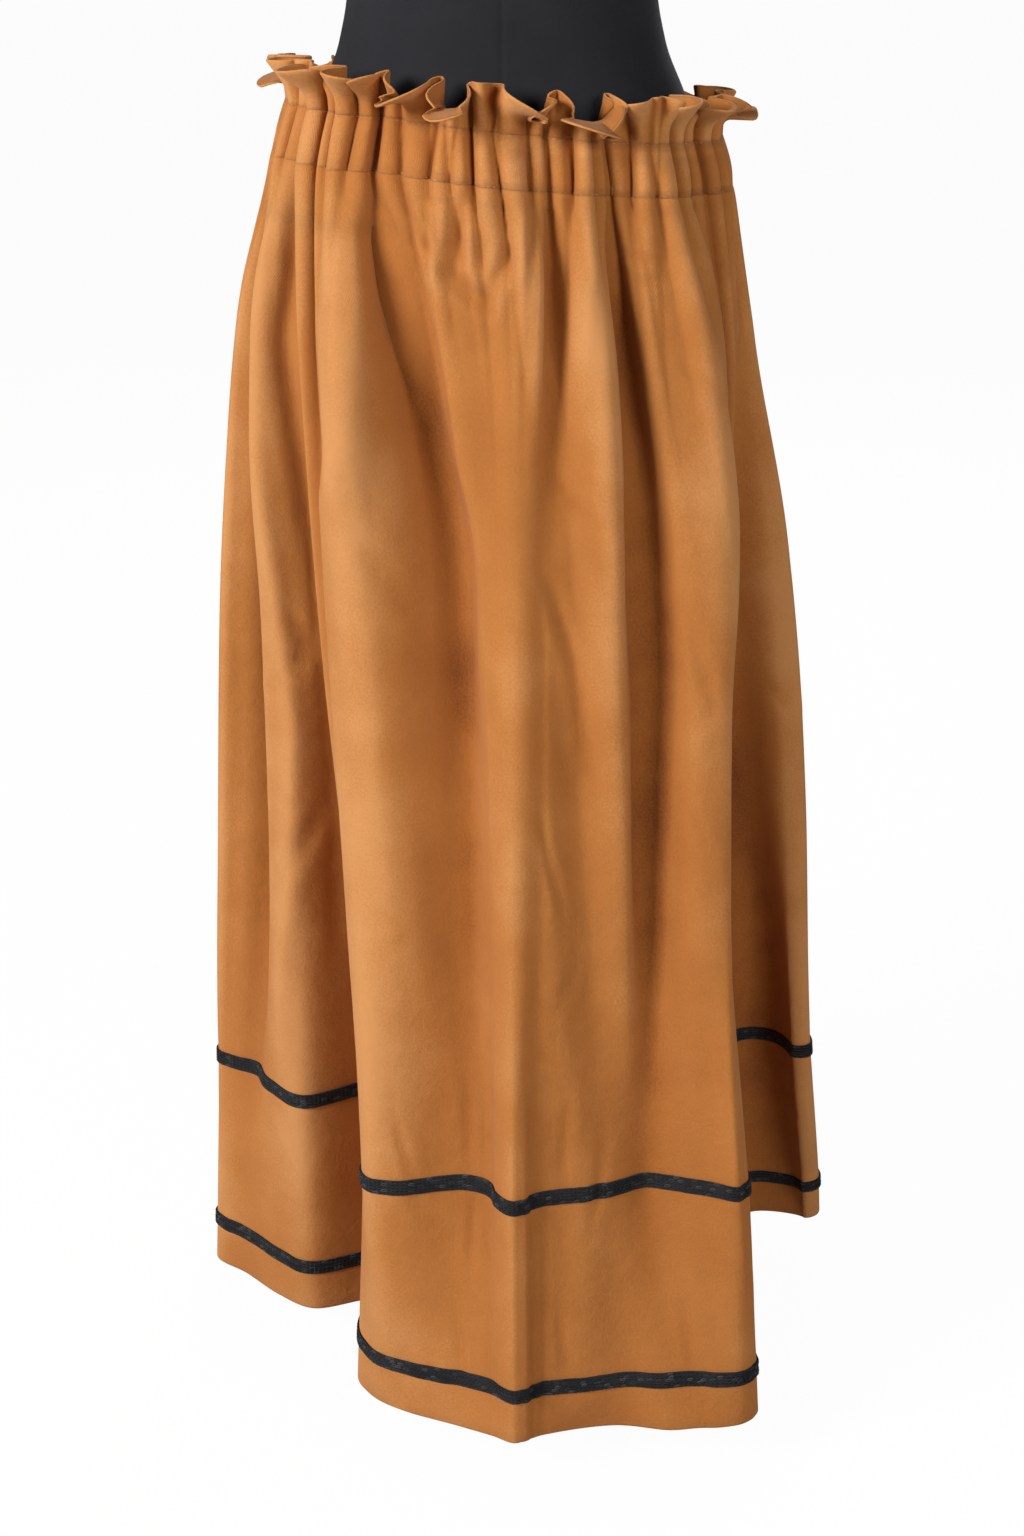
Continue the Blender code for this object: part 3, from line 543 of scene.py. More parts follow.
@dataclass(frozen=True)
class LevelRun:
    """Lengths along one level of the skirt, measured from station 0."""

    stations: np.ndarray
    lengths: np.ndarray

    def at(self, stations: np.ndarray | float) -> np.ndarray:
        """Lengths at stations of the first lap."""
        return np.interp(stations, self.stations, self.lengths)

    def offset(self, stations: np.ndarray, place: float) -> np.ndarray:
        """Signed shortest lengths from one station to others."""
        whole = self.lengths[-1]
        return (self.at(stations) - self.at(place % FOLD_COUNT) + whole / 2) % whole - whole / 2


@dataclass(frozen=True)
class SkirtShape:
    """The skirt's outer surface: the solids' folds, the wide ones that correct them, and detail."""

    form: DressFormShape = field(default_factory=DressFormShape)
    hem_height: float = 0.045
    gather_height: float = 1.0055
    gather_tilt: float = 0.013
    casing_depth: float = 0.036
    cloth_wall: float = 0.0014
    casing_wall: float = 0.0024
    casing_clearance: float = 0.0007
    body_clearance: float = 0.0017
    draw_in: float = 0.8
    levels: tuple[float, ...] = (0.0, 0.213, 0.474, 0.703, 0.875, 1.0)
    bearing_levels: tuple[float, ...] = (0.0, 0.213, 0.703, 1.0)
    ridge_share: float = 0.30
    ridge_power: float = 0.62
    valley_width: float = 0.0030
    valley_spread: float = 0.022
    valley_part: float = 0.80
    run_part: float = 1.7
    crease_part: float = 1.5
    puff: float = 0.0006
    puff_reach: float = 0.011
    pinch: float = 0.0002
    wrinkle: float = 0.0014
    pucker: float = 0.0018
    bands: tuple[float, ...] = tuple(sorted(BANDS.values()))
    fineness: int = 24
    gather_length: float = 1.0096
    casing_swell: float = 0.10
    pinch_reach: float = 0.0018
    crease_ends: float = 0.35
    crease_lip: float = 0.45
    soft_at_hem: float = 0.45
    wide_scale: tuple[float, float] = (13.0, 2.6)
    fine_scale: tuple[float, float] = (36.0, 7.0)
    fine_part: float = 0.4
    pucker_scale: tuple[float, float] = (48.0, 40.0)
    pucker_core: float = 0.006
    pucker_reach: float = 0.05
    pucker_fade: float = 0.014

    def height_of(self, share: float) -> float:
        """Height of a share of the drop above the hem."""
        return self.hem_height + share * (self.gather_height - self.hem_height)

    def plan(self, height: float) -> np.ndarray:
        """Plan points of all fold lines at a height."""
        rows = np.array([fold[1:] for fold in FOLDS], dtype=float)
        turn_heights = np.array([self.height_of(share) for share in self.bearing_levels])
        reach_heights = np.array([self.height_of(share) for share in self.levels])
        turns = np.radians(monotone(turn_heights, rows[:, 3::-1].T, np.array(height))[0])
        reaches = monotone(reach_heights, rows[:, :3:-1].T, np.array(height))[0] / 1000.0
        return np.stack([reaches * np.cos(turns), reaches * np.sin(turns)], axis=1)

    def gather_shares(self, stations: np.ndarray) -> np.ndarray:
        """Share of the way round the gathers at each station, which may run past one lap."""
        run = self.level_run(self.gather_height)
        laps = np.floor(stations / FOLD_COUNT)
        return laps + np.interp(stations - laps * FOLD_COUNT, run.stations,
                                run.lengths / run.lengths[-1])

    def gather_stations(self, shares: np.ndarray) -> np.ndarray:
        """Stations at shares of the way round the gathers."""
        run = self.level_run(self.gather_height)
        return np.interp(shares, run.lengths / run.lengths[-1], run.stations)

    def gather_relief(self, shares: np.ndarray, below: float) -> np.ndarray:
        """Relief of the gathers' ridges and valleys.

        Args:
            shares: Shares of the way round the stitch row.
            below: Distance below the lower stitch row; above it where it is negative.

        Returns:
            Outward relief in metres for each share.
        """
        around = self.gather_length
        relief = np.zeros(len(shares))
        drop = max(below, 0.0)
        for pleat, after in zip(PLEATS, PLEATS[1:] + PLEATS[:1]):
            width = (after.share - pleat.share) % 1.0
            drift = pleat.slant * below / around
            t = ((shares - pleat.share - drift) % 1.0) / width
            run = self.run_part * (pleat.run + after.run) / 2000.0
            size = self.ridge_share * width * around * math.exp(-((drop / run) ** 1.4))
            crest = np.sin(np.pi * np.clip(t, 0.0, 1.0)) ** self.ridge_power
            relief += np.where(t < 1.0, size * crest, 0.0)
            off = np.abs((shares - pleat.share - drift + 0.5) % 1.0 - 0.5) * around
            wide = self.valley_width + self.valley_spread * drop
            depth = self.valley_part * pleat.depth / 1000.0
            depth *= math.exp(-((drop * 1000.0 / (self.run_part * pleat.run)) ** 1.5))
            relief -= depth * np.exp(-((off / wide) ** 1.5))
        return relief

    def level_run(self, height: float) -> LevelRun:
        """Lengths along the plain fold lines at a height."""
        fine = np.linspace(0.0, FOLD_COUNT, FOLD_COUNT * self.fineness + 1)
        return LevelRun(fine, run_along(closed_curve(self.plan(height), fine)))

    def crease_relief(self, stations: np.ndarray, height: float, run: LevelRun) -> np.ndarray:
        """Relief of the single creases that cross a level.

        Args:
            stations: Stations of the ring's points.
            height: The level, before the tilt.
            run: Lengths along the level.

        Returns:
            Outward relief in metres for each point.
        """
        relief = np.zeros(len(stations))
        for crease in CREASES:
            (s0, z0), (s1, z1) = crease.start, crease.end
            width = crease.width / 1000.0
            if not min(z0, z1) - 4 * width < height < max(z0, z1) + 4 * width:
                continue
            across = run.offset(stations, s0)
            reach = float(run.offset(np.array([s1]), s0)[0])
            rise = z1 - z0
            length = max(reach ** 2 + rise ** 2, 1e-9)
            along = np.clip((across * reach + (height - z0) * rise) / length, 0.0, 1.0)
            off = np.hypot(across - along * reach, height - z0 - along * rise)
            fade = self.crease_ends + (1.0 - self.crease_ends) * np.sin(np.pi * along) ** 0.6
            near = np.exp(-((off / width) ** 1.7))
            lip = self.crease_lip * np.exp(-(((off - 2.0 * width) / width) ** 2))
            relief -= self.crease_part * crease.depth / 1000.0 * fade * (near - lip)
        return relief

    def wide_relief(self, stations: np.ndarray, height: float, run: LevelRun) -> np.ndarray:
        """Relief of the wide folds that reach a level.

        Args:
            stations: Stations of the ring's points.
            height: The level, before the tilt.
            run: Lengths along the level.

        Returns:
            Outward relief in metres for each point.
        """
        relief = np.zeros(len(stations))
        for fold in WIDE_FOLDS:
            way = np.array(fold.way[::-1])
            if not way[0, 0] <= height <= way[-1, 0]:
                continue
            station, size, left, right = monotone(way[:, 0], way[:, 1:], np.array(height))[0]
            off = run.offset(stations, station) * 1000.0
            part = np.abs(off) / np.where(off < 0.0, left, right)
            relief += size / 1000.0 * np.exp(-(part ** 1.8))
        return relief

    def soft_relief(self, stations: np.ndarray, height: float) -> np.ndarray:
        """Slow unevenness of cloth that has hung and been folded, and puckers at the bands."""
        run = self.level_run(self.height_of(0.5))
        whole = run.lengths[-1]
        turns = 2.0 * math.pi * run.at(stations) / whole
        radius = whole / (2.0 * math.pi)
        relief = np.zeros(len(stations))
        share = (height - self.hem_height) / (self.gather_height - self.hem_height)
        size = self.wrinkle * (self.soft_at_hem + (1.0 - self.soft_at_hem) * min(1.0, 4 * share))
        for i, (x, y) in enumerate(zip(radius * np.cos(turns), radius * np.sin(turns))):
            wide, fine = (noise.noise(Vector((x * level, y * level, height * upright)))
                          for level, upright in (self.wide_scale, self.fine_scale))
            relief[i] = size * (wide + self.fine_part * fine)
            for band in self.bands:
                off = abs(height - self.hem_height - band) - self.pucker_core
                if -self.pucker_core < off < self.pucker_reach:
                    level, upright = self.pucker_scale
                    pull = noise.noise(Vector((x * level, y * level, band * upright)))
                    fade = math.exp(-max(off, 0.0) / self.pucker_fade)
                    relief[i] += self.pucker * pull * fade
        return relief

    def tilted(self, height: float, bearing: np.ndarray) -> np.ndarray:
        """Heights of a level's points once the level follows the tilt of the gathers."""
        share = (height - self.hem_height) / (self.gather_height - self.hem_height)
        gather = self.gather_height - self.gather_tilt * np.cos(bearing)
        return self.hem_height + share * (gather - self.hem_height)

    def ring(self, height: float, stations: np.ndarray, out: float = 0.0) -> np.ndarray:
        """Points of the panels' outer surface round one level.

        Args:
            height: The level, before the tilt.
            stations: Stations of the points over exactly one lap.
            out: How far the points stand off the surface.

        Returns:
            One point for each station.
        """
        plan = closed_curve(self.plan(height), stations)
        below = self.gather_height - height
        run = self.level_run(height)
        relief = self.gather_relief(self.gather_shares(stations), below)
        relief += self.crease_relief(stations, height, run)
        relief += self.wide_relief(stations, height, run)
        relief += self.soft_relief(stations, height)
        swell = below / self.puff_reach
        relief += self.puff * swell * math.exp(1.0 - swell)
        relief -= self.pinch * math.exp(-((below / self.pinch_reach) ** 2))
        plan = plan + level_normals(plan) * relief[:, None]
        bearing = np.arctan2(plan[:, 1], plan[:, 0])
        z = self.tilted(height, bearing)
        reach = np.hypot(plan[:, 0], plan[:, 1])
        clear = self.form.reach(bearing, z) + self.cloth_wall + self.body_clearance
        near = z > FORM_SECTIONS[0].height - self.form.skip
        reach = np.where(near, np.maximum(reach, clear), reach)
        plan = np.stack([reach * np.cos(bearing), reach * np.sin(bearing)], axis=1)
        if out:
            plan = plan + level_normals(plan) * out
        return np.column_stack([plan, z])

    def casing_ring(self, above: float, stations: np.ndarray) -> np.ndarray:
        """Points of the casing round one level above the lower stitch row.

        Args:
            above: Height above the lower stitch row.
            stations: Stations of the points over exactly one lap.

        Returns:
            One point for each station.
        """
        plan = closed_curve(self.plan(self.gather_height), stations)
        bearing = np.arctan2(plan[:, 1], plan[:, 0])
        foot = self.gather_height - self.gather_tilt * np.cos(bearing)
        shares = self.gather_shares(stations)
        relief = self.gather_relief(shares, -above)
        part = above / self.casing_depth
        relief = relief * (1.0 + self.casing_swell * math.sin(math.pi * min(max(part, 0.0), 1.0)))
        level = self.gather_height + above
        run = self.level_run(self.gather_height)
        relief += self.crease_relief(stations, level, run) + self.soft_relief(stations, level)
        z = foot + above
        drawn = self.form.reach(bearing, foot) - self.form.reach(bearing, z)
        plan = plan + level_normals(plan) * relief[:, None]
        bearing = np.arctan2(plan[:, 1], plan[:, 0])
        reach = np.hypot(plan[:, 0], plan[:, 1]) - self.draw_in * drawn
        for row in (0.0, self.casing_depth):
            reach -= self.pinch * math.exp(-(((above - row) / self.pinch_reach) ** 2))
        clear = self.form.reach(bearing, z) + self.casing_wall + self.casing_clearance
        reach = np.maximum(reach, clear)
        return np.column_stack([reach * np.cos(bearing), reach * np.sin(bearing), z])


# Finishes

def add_node(tree: bpy.types.NodeTree, kind: str, **settings: object) -> bpy.types.Node:
    """Adds a node to a tree.

    Args:
        tree: The shader or geometry node tree.
        kind: The node's type name.
        **settings: Properties to set on the node.

    Returns:
        The new node.
    """
    node = tree.nodes.new(kind)
    for name, value in settings.items():
        setattr(node, name, value)
    return node


def math_node(tree: bpy.types.NodeTree, operation: str, *values: object) -> bpy.types.NodeSocket:
    """Adds a Math node, with numbers set and sockets linked in order, and gives its output."""
    node = add_node(tree, "ShaderNodeMath", operation=operation)
    for socket, value in zip(node.inputs, values):
        if isinstance(value, bpy.types.NodeSocket):
            tree.links.new(value, socket)
        else:
            socket.default_value = value
    return node.outputs[0]


def new_material(name: str) -> tuple[bpy.types.Material, bpy.types.NodeTree, bpy.types.Node]:
    """Makes a material with nodes; gives it with its tree and its Principled shader."""
    material = bpy.data.materials.new(name)
    material.use_nodes = True
    tree = material.node_tree
    return material, tree, tree.nodes["Principled BSDF"]


@dataclass(frozen=True)
class GrainGroup:
    """Node group for woven or knitted grain: a height and a slow change of tone."""

    name: str = "cloth_grain"
    rib_wander: float = 5.0
    rib_height: float = 0.22
    crumple_scale: float = 10.0
    fine_detail: float = 3.0
    slow_detail: float = 4.0
    noise_roughness: float = 0.55

    def build(self) -> bpy.types.NodeTree:
        """Makes the group once, or gives the one already made."""
        if self.name in bpy.data.node_groups:
            return bpy.data.node_groups[self.name]
        tree = bpy.data.node_groups.new(self.name, "ShaderNodeTree")
        new = tree.interface.new_socket
        new("Vector", in_out="INPUT", socket_type="NodeSocketVector")
        for label, value in (("Ribs", 900.0), ("Slope", 0.8), ("Nap", 420.0), ("Mottle", 9.0),
                             ("Crumple", 0.0)):
            new(label, in_out="INPUT", socket_type="NodeSocketFloat").default_value = value
        for label in ("Height", "Tone", "Fleck"):
            new(label, in_out="OUTPUT", socket_type="NodeSocketFloat")
        given = add_node(tree, "NodeGroupInput").outputs
        made = add_node(tree, "NodeGroupOutput").inputs
        parts = add_node(tree, "ShaderNodeSeparateXYZ")
        tree.links.new(given["Vector"], parts.inputs[0])
        nap = self.noise(tree, given["Vector"], given["Nap"], self.fine_detail)
        slow = self.noise(tree, given["Vector"], given["Mottle"], self.slow_detail)
        slope = math_node(tree, "MULTIPLY", parts.outputs[1], given["Slope"])
        diagonal = math_node(tree, "ADD", parts.outputs[0], slope)
        wander = math_node(tree, "MULTIPLY", nap, self.rib_wander)
        phase = math_node(tree, "MULTIPLY_ADD", diagonal, given["Ribs"], wander)
        ribs = math_node(tree, "SINE", phase)
        weave = math_node(tree, "MULTIPLY_ADD", ribs, self.rib_height, nap)
        often = math_node(tree, "MULTIPLY", given["Mottle"], self.crumple_scale)
        crumple = self.noise(tree, given["Vector"], often, self.fine_detail)
        height = math_node(tree, "MULTIPLY_ADD", crumple, given["Crumple"], weave)
        tree.links.new(height, made["Height"])
        tree.links.new(slow, made["Tone"])
        tree.links.new(nap, made["Fleck"])
        return tree

    def noise(self, tree: bpy.types.NodeTree, vector: bpy.types.NodeSocket,
              scale: bpy.types.NodeSocket, detail: float) -> bpy.types.NodeSocket:
        """Adds a noise texture on a vector and gives its value."""
        node = add_node(tree, "ShaderNodeTexNoise")
        node.inputs["Detail"].default_value = detail
        node.inputs["Roughness"].default_value = self.noise_roughness
        tree.links.new(vector, node.inputs["Vector"])
        tree.links.new(scale, node.inputs["Scale"])
        return node.outputs[0]


@dataclass(frozen=True)
class ClothFinish:
    """A woven, knitted or stitched textile with its grain, slow tone and sheen."""

    name: str
    dark: tuple[float, float, float]
    light: tuple[float, float, float]
    roughness: float
    sheen: float
    sheen_tint: tuple[float, float, float]
    ribs: float
    slope: float
    nap: float
    mottle: float
    bump: float
    from_uv: bool = True
    fleck: float = 0.12
    # Colours below dark and above light: painted shade for hollows and painted highlight for crests and
    # edges.
    painted_shade_colour: tuple[float, float, float] | None = None
    painted_highlight_colour: tuple[float, float, float] | None = None
    # How strongly the tone attribute paints shade into hollows and highlight onto crests and edges.
    hollow: float = 0.0
    crumple: float = 0.0
    stops: tuple[float, float] = (0.30, 0.70)
    lift: float = 0.1
    bump_strength: float = 0.8
    specular: float = 0.25
    sheen_roughness: float = 0.45

    def build(self) -> bpy.types.Material:
        """Makes the material.

        Returns:
            The finished material.
        """
        material, tree, shader = new_material(self.name)
        coordinates = add_node(tree, "ShaderNodeUVMap", uv_map=UV_NAME) if self.from_uv \
            else add_node(tree, "ShaderNodeTexCoord")
        vector = coordinates.outputs["UV" if self.from_uv else "Object"]
        grain = add_node(tree, "ShaderNodeGroup", node_tree=GrainGroup().build())
        tree.links.new(vector, grain.inputs["Vector"])
        for label, value in (("Ribs", self.ribs), ("Slope", self.slope), ("Nap", self.nap),
                             ("Mottle", self.mottle), ("Crumple", self.crumple)):
            grain.inputs[label].default_value = value
        ramp = add_node(tree, "ShaderNodeValToRGB")
        for index, colour in enumerate((self.dark, self.light)):
            ramp.color_ramp.elements[index].position = self.stops[index]
            ramp.color_ramp.elements[index].color = (*colour, 1.0)
        if self.painted_shade_colour:
            ramp.color_ramp.elements.new(0.0).color = (*self.painted_shade_colour, 1.0)
        if self.painted_highlight_colour:
            ramp.color_ramp.elements.new(1.0).color = (*self.painted_highlight_colour, 1.0)
        fleck = math_node(tree, "MULTIPLY_ADD", grain.outputs["Fleck"], self.fleck,
                          self.lift - self.fleck / 2.0)
        shade = math_node(tree, "ADD", grain.outputs["Tone"], fleck)
        tree.links.new(self.shade(tree, shade), ramp.inputs[0])
        tree.links.new(ramp.outputs[0], shader.inputs["Base Color"])
        bump = add_node(tree, "ShaderNodeBump")
        bump.inputs["Distance"].default_value = self.bump
        bump.inputs["Strength"].default_value = self.bump_strength
        tree.links.new(grain.outputs["Height"], bump.inputs["Height"])
        tree.links.new(bump.outputs[0], shader.inputs["Normal"])
        for label, value in (("Roughness", self.roughness), ("Specular IOR Level", self.specular),
                             ("Sheen Weight", self.sheen),
                             ("Sheen Roughness", self.sheen_roughness),
                             ("Sheen Tint", (*self.sheen_tint, 1.0))):
            shader.inputs[label].default_value = value
        return material

    def shade(self, tree: bpy.types.NodeTree,
              value: bpy.types.NodeSocket) -> bpy.types.NodeSocket:
        """The tone the colours are read by, with painted shade darkening hollows and painted highlight
        lightening crests and edges.
        """
        if not self.hollow:
            return value
        # Painted shade and highlight: the tone attribute darkens hollows and lightens crests and edges.
        own = add_node(tree, "ShaderNodeAttribute", attribute_name=SHADE_AND_TONE_NAME)
        part = math_node(tree, "MULTIPLY_ADD", own.outputs["Fac"], -self.hollow,
                         self.hollow / 2.0)
        return math_node(tree, "ADD", value, part)


@dataclass(frozen=True)
class StitchFinish(ClothFinish):
    """A thread finish whose tone changes from stitch to stitch at random, with a few stitches made much
    lighter as painted glints.
    """

    # glint_power and glint pick a few stitches and lighten them as painted glints.
    glint_power: float = 14.0
    glint: float = 0.62
    base_tone: float = 0.22
    grain_part: float = 0.20

    def shade(self, tree: bpy.types.NodeTree,
              value: bpy.types.NodeSocket) -> bpy.types.NodeSocket:
        """The grain's tone with each stitch's own random tone on it; the highest stitch tones become
        painted glints.
        """
        own = add_node(tree, "ShaderNodeAttribute", attribute_name=SHADE_AND_TONE_NAME)
        few = math_node(tree, "POWER", own.outputs["Fac"], self.glint_power)
        part = math_node(tree, "MULTIPLY_ADD", few, self.glint, self.base_tone)
        return math_node(tree, "MULTIPLY_ADD", value, self.grain_part, part)


@dataclass(frozen=True)
class HardFinish:
    """Paint or metal with a fine uneven surface."""

    name: str
    colour: tuple[float, float, float]
    roughness: float
    metallic: float
    grain: float
    bump: float
    spread: float = 0.3
    rough_spread: float = 0.16

    def build(self) -> bpy.types.Material:
        """Makes the material.

        Returns:
            The finished material.
        """
        material, tree, shader = new_material(self.name)
        shader.inputs["Metallic"].default_value = self.metallic
        coordinates = add_node(tree, "ShaderNodeTexCoord")
        texture = add_node(tree, "ShaderNodeTexNoise")
        texture.inputs["Scale"].default_value = self.grain
        texture.inputs["Detail"].default_value = 3.0
        tree.links.new(coordinates.outputs["Object"], texture.inputs["Vector"])
        ramp = add_node(tree, "ShaderNodeValToRGB")
        ramp.color_ramp.elements[0].color = (*((1.0 - self.spread) * part for part in self.colour), 1.0)
        ramp.color_ramp.elements[1].color = (*((1.0 + self.spread) * part for part in self.colour), 1.0)
        tree.links.new(texture.outputs[0], ramp.inputs[0])
        tree.links.new(ramp.outputs[0], shader.inputs["Base Color"])
        rough = math_node(tree, "MULTIPLY_ADD", texture.outputs[0], self.rough_spread,
                          self.roughness - self.rough_spread / 2.0)
        tree.links.new(rough, shader.inputs["Roughness"])
        bump = add_node(tree, "ShaderNodeBump")
        bump.inputs["Distance"].default_value = self.bump
        tree.links.new(texture.outputs[0], bump.inputs["Height"])
        tree.links.new(bump.outputs[0], shader.inputs["Normal"])
        return material


# The cotton's lowest and highest colours and its hollow setting paint shade into hollows and highlight
# onto crests and edges.
COTTON = ClothFinish("brushed_ochre_twill", (0.350, 0.112, 0.0185), (0.440, 0.160, 0.0345), 0.85,
                     0.13, (1.0, 0.86, 0.68), 5200.0, 0.85, 520.0, 7.0, 0.00050, fleck=0.42,
                     painted_shade_colour=(0.175, 0.041, 0.0045), painted_highlight_colour=(0.555, 0.245, 0.080), hollow=0.70,
                     crumple=3.0)
# Both thread finishes lighten a few stitches as painted glints.
OCHRE_THREAD = StitchFinish("ochre_sewing_thread", (0.44, 0.17, 0.040), (0.72, 0.36, 0.130),
                            0.70, 0.2, (1.0, 0.85, 0.6), 9000.0, 0.6, 2500.0, 30.0, 0.0001,
                            from_uv=False)
BLACK_THREAD = StitchFinish("black_chain_thread", (0.0045, 0.0045, 0.0058),
                            (0.070, 0.070, 0.076), 0.55, 0.12, (0.75, 0.78, 0.9), 7000.0, 0.7,
                            2200.0, 40.0, 0.0002, from_uv=False)
JERSEY = ClothFinish("black_form_jersey", (0.0072, 0.0076, 0.0094), (0.0130, 0.0136, 0.0166), 0.90,
                     0.20, (0.66, 0.68, 0.80), 4200.0, 0.15, 1100.0, 12.0, 0.00020)
CAP_PAINT = HardFinish("black_cap_lacquer", (0.015, 0.015, 0.017), 0.42, 0.0, 260.0, 0.00008)
STEEL = HardFinish("blackened_steel", (0.032, 0.032, 0.035), 0.42, 1.0, 420.0, 0.00010)


# Meshes

@dataclass
class Shell:
    """Lofts rows of points to a closed shell and keeps metre-true UVs."""

    name: str
    closed: bool
    rows: list[np.ndarray] = field(default_factory=list)
    uvs: list[np.ndarray] = field(default_factory=list)
    shading_tones: list[np.ndarray] = field(default_factory=list)

    def add(self, points: np.ndarray, uv: np.ndarray, tone: np.ndarray | float = 0.5) -> None:
        """Adds the next row round the wall's profile, with one UV and one tone for each point; on the
        cloth the tone carries painted shade in hollows and painted highlight on crests and edges.
        """
        self.rows.append(points)
        self.uvs.append(uv)
        self.shading_tones.append(np.broadcast_to(np.asarray(tone, dtype=float), (len(points),)))

    def build(self, materials: Sequence[bpy.types.Material]) -> bpy.types.Object:
        """Makes the object; the rows run once round the wall's own section.

        Args:
            materials: The materials for the object's slots.

        Returns:
            The new object, in the scene.
        """
        count = len(self.rows[0])
        levels = len(self.rows)
        points = np.concatenate(self.rows)
        faces = []
        columns = count if self.closed else count - 1
        for level in range(levels):
            above = (level + 1) % levels
            for column in range(columns):
                after = (column + 1) % count
                faces.append((level * count + column, level * count + after,
                              above * count + after, above * count + column))
        if not self.closed:
            faces += self.end_faces(count, levels)
        mesh = bpy.data.meshes.new(self.name)
        mesh.from_pydata(points.tolist(), [], faces)
        write_uv(mesh, np.concatenate(self.uvs))
        tone = mesh.attributes.new(SHADE_AND_TONE_NAME, "FLOAT", "POINT")
        tone.data.foreach_set("value", np.concatenate(self.shading_tones).astype(np.float32))
        return finish(self.name, mesh, materials)

    def end_faces(self, count: int, levels: int) -> list[tuple[int, ...]]:
        """Faces that close the two open ends; the wall's halves have as many rows each."""
        faces = []
        for column, turn in ((0, False), (count - 1, True)):
            low, high = 0, levels - 1
            while high - low > 2:
                face = (low * count + column, (low + 1) * count + column,
                        (high - 1) * count + column, high * count + column)
                faces.append(face[::-1] if turn else face)
                low, high = low + 1, high - 1
            if high - low == 2:
                face = tuple(level * count + column for level in (low, low + 1, high))
                faces.append(face[::-1] if turn else face)
        return faces


def placed(name: str, data: bpy.types.ID) -> bpy.types.Object:
    """Makes an object on its data and links it into the scene."""
    obj = bpy.data.objects.new(name, data)
    bpy.context.scene.collection.objects.link(obj)
    return obj


def write_uv(mesh: bpy.types.Mesh, uv: np.ndarray) -> None:
    """Gives a mesh its UV layer from one place for each point."""
    layer = mesh.uv_layers.new(name=UV_NAME)
    corners = np.empty(len(mesh.loops), dtype=np.int32)
    mesh.loops.foreach_get("vertex_index", corners)
    layer.data.foreach_set("uv", uv[corners].astype(np.float32).ravel())


def log_pieces(pieces: dict[str, bpy.types.Object]) -> None:
    """Logs the size of every piece of a sub-assembly."""
    for name, piece in pieces.items():
        LOG.info("%s: %d faces", name, len(piece.data.polygons))


def finish(name: str, mesh: bpy.types.Mesh,
           materials: Sequence[bpy.types.Material]) -> bpy.types.Object:
    """Turns a mesh into a smooth object with outward faces.

    Args:
        name: The object's name.
        mesh: Its mesh.
        materials: The materials for its slots.

    Returns:
        The object, in the scene's collection.
    """
    bm = bmesh.new()
    bm.from_mesh(mesh)
    bmesh.ops.recalc_face_normals(bm, faces=bm.faces)
    bm.to_mesh(mesh)
    bm.free()
    mesh.shade_smooth()
    for material in materials:
        mesh.materials.append(material)
    return placed(name, mesh)


def line_object(name: str, lines: Sequence[np.ndarray]) -> bpy.types.Object:
    """A mesh of closed lines, which the stitches follow."""
    points, edges = [], []
    for line in lines:
        start = len(points)
        points += line.tolist()
        edges += [(start + i, start + (i + 1) % len(line)) for i in range(len(line))]
    mesh = bpy.data.meshes.new(name)
    mesh.from_pydata(points, edges, [])
    return placed(name, mesh)


def applied(carrier: bpy.types.Object, name: str) -> bpy.types.Object:
    """Turns an object with a geometry node modifier into a plain mesh object.

    Args:
        carrier: The object that holds the modifier; it is removed.
        name: The new object's name.

    Returns:
        The plain object.
    """
    graph = bpy.context.evaluated_depsgraph_get()
    mesh = bpy.data.meshes.new_from_object(carrier.evaluated_get(graph))
    carrier.modifiers.clear()
    bpy.data.objects.remove(carrier)
    mesh.name = name
    return placed(name, mesh)


# Stitches

class StitchKind(Enum):
    """How a row of stitches is worked."""

    RUNNING = "running_stitch"
    CHAIN = "chain_stitch"


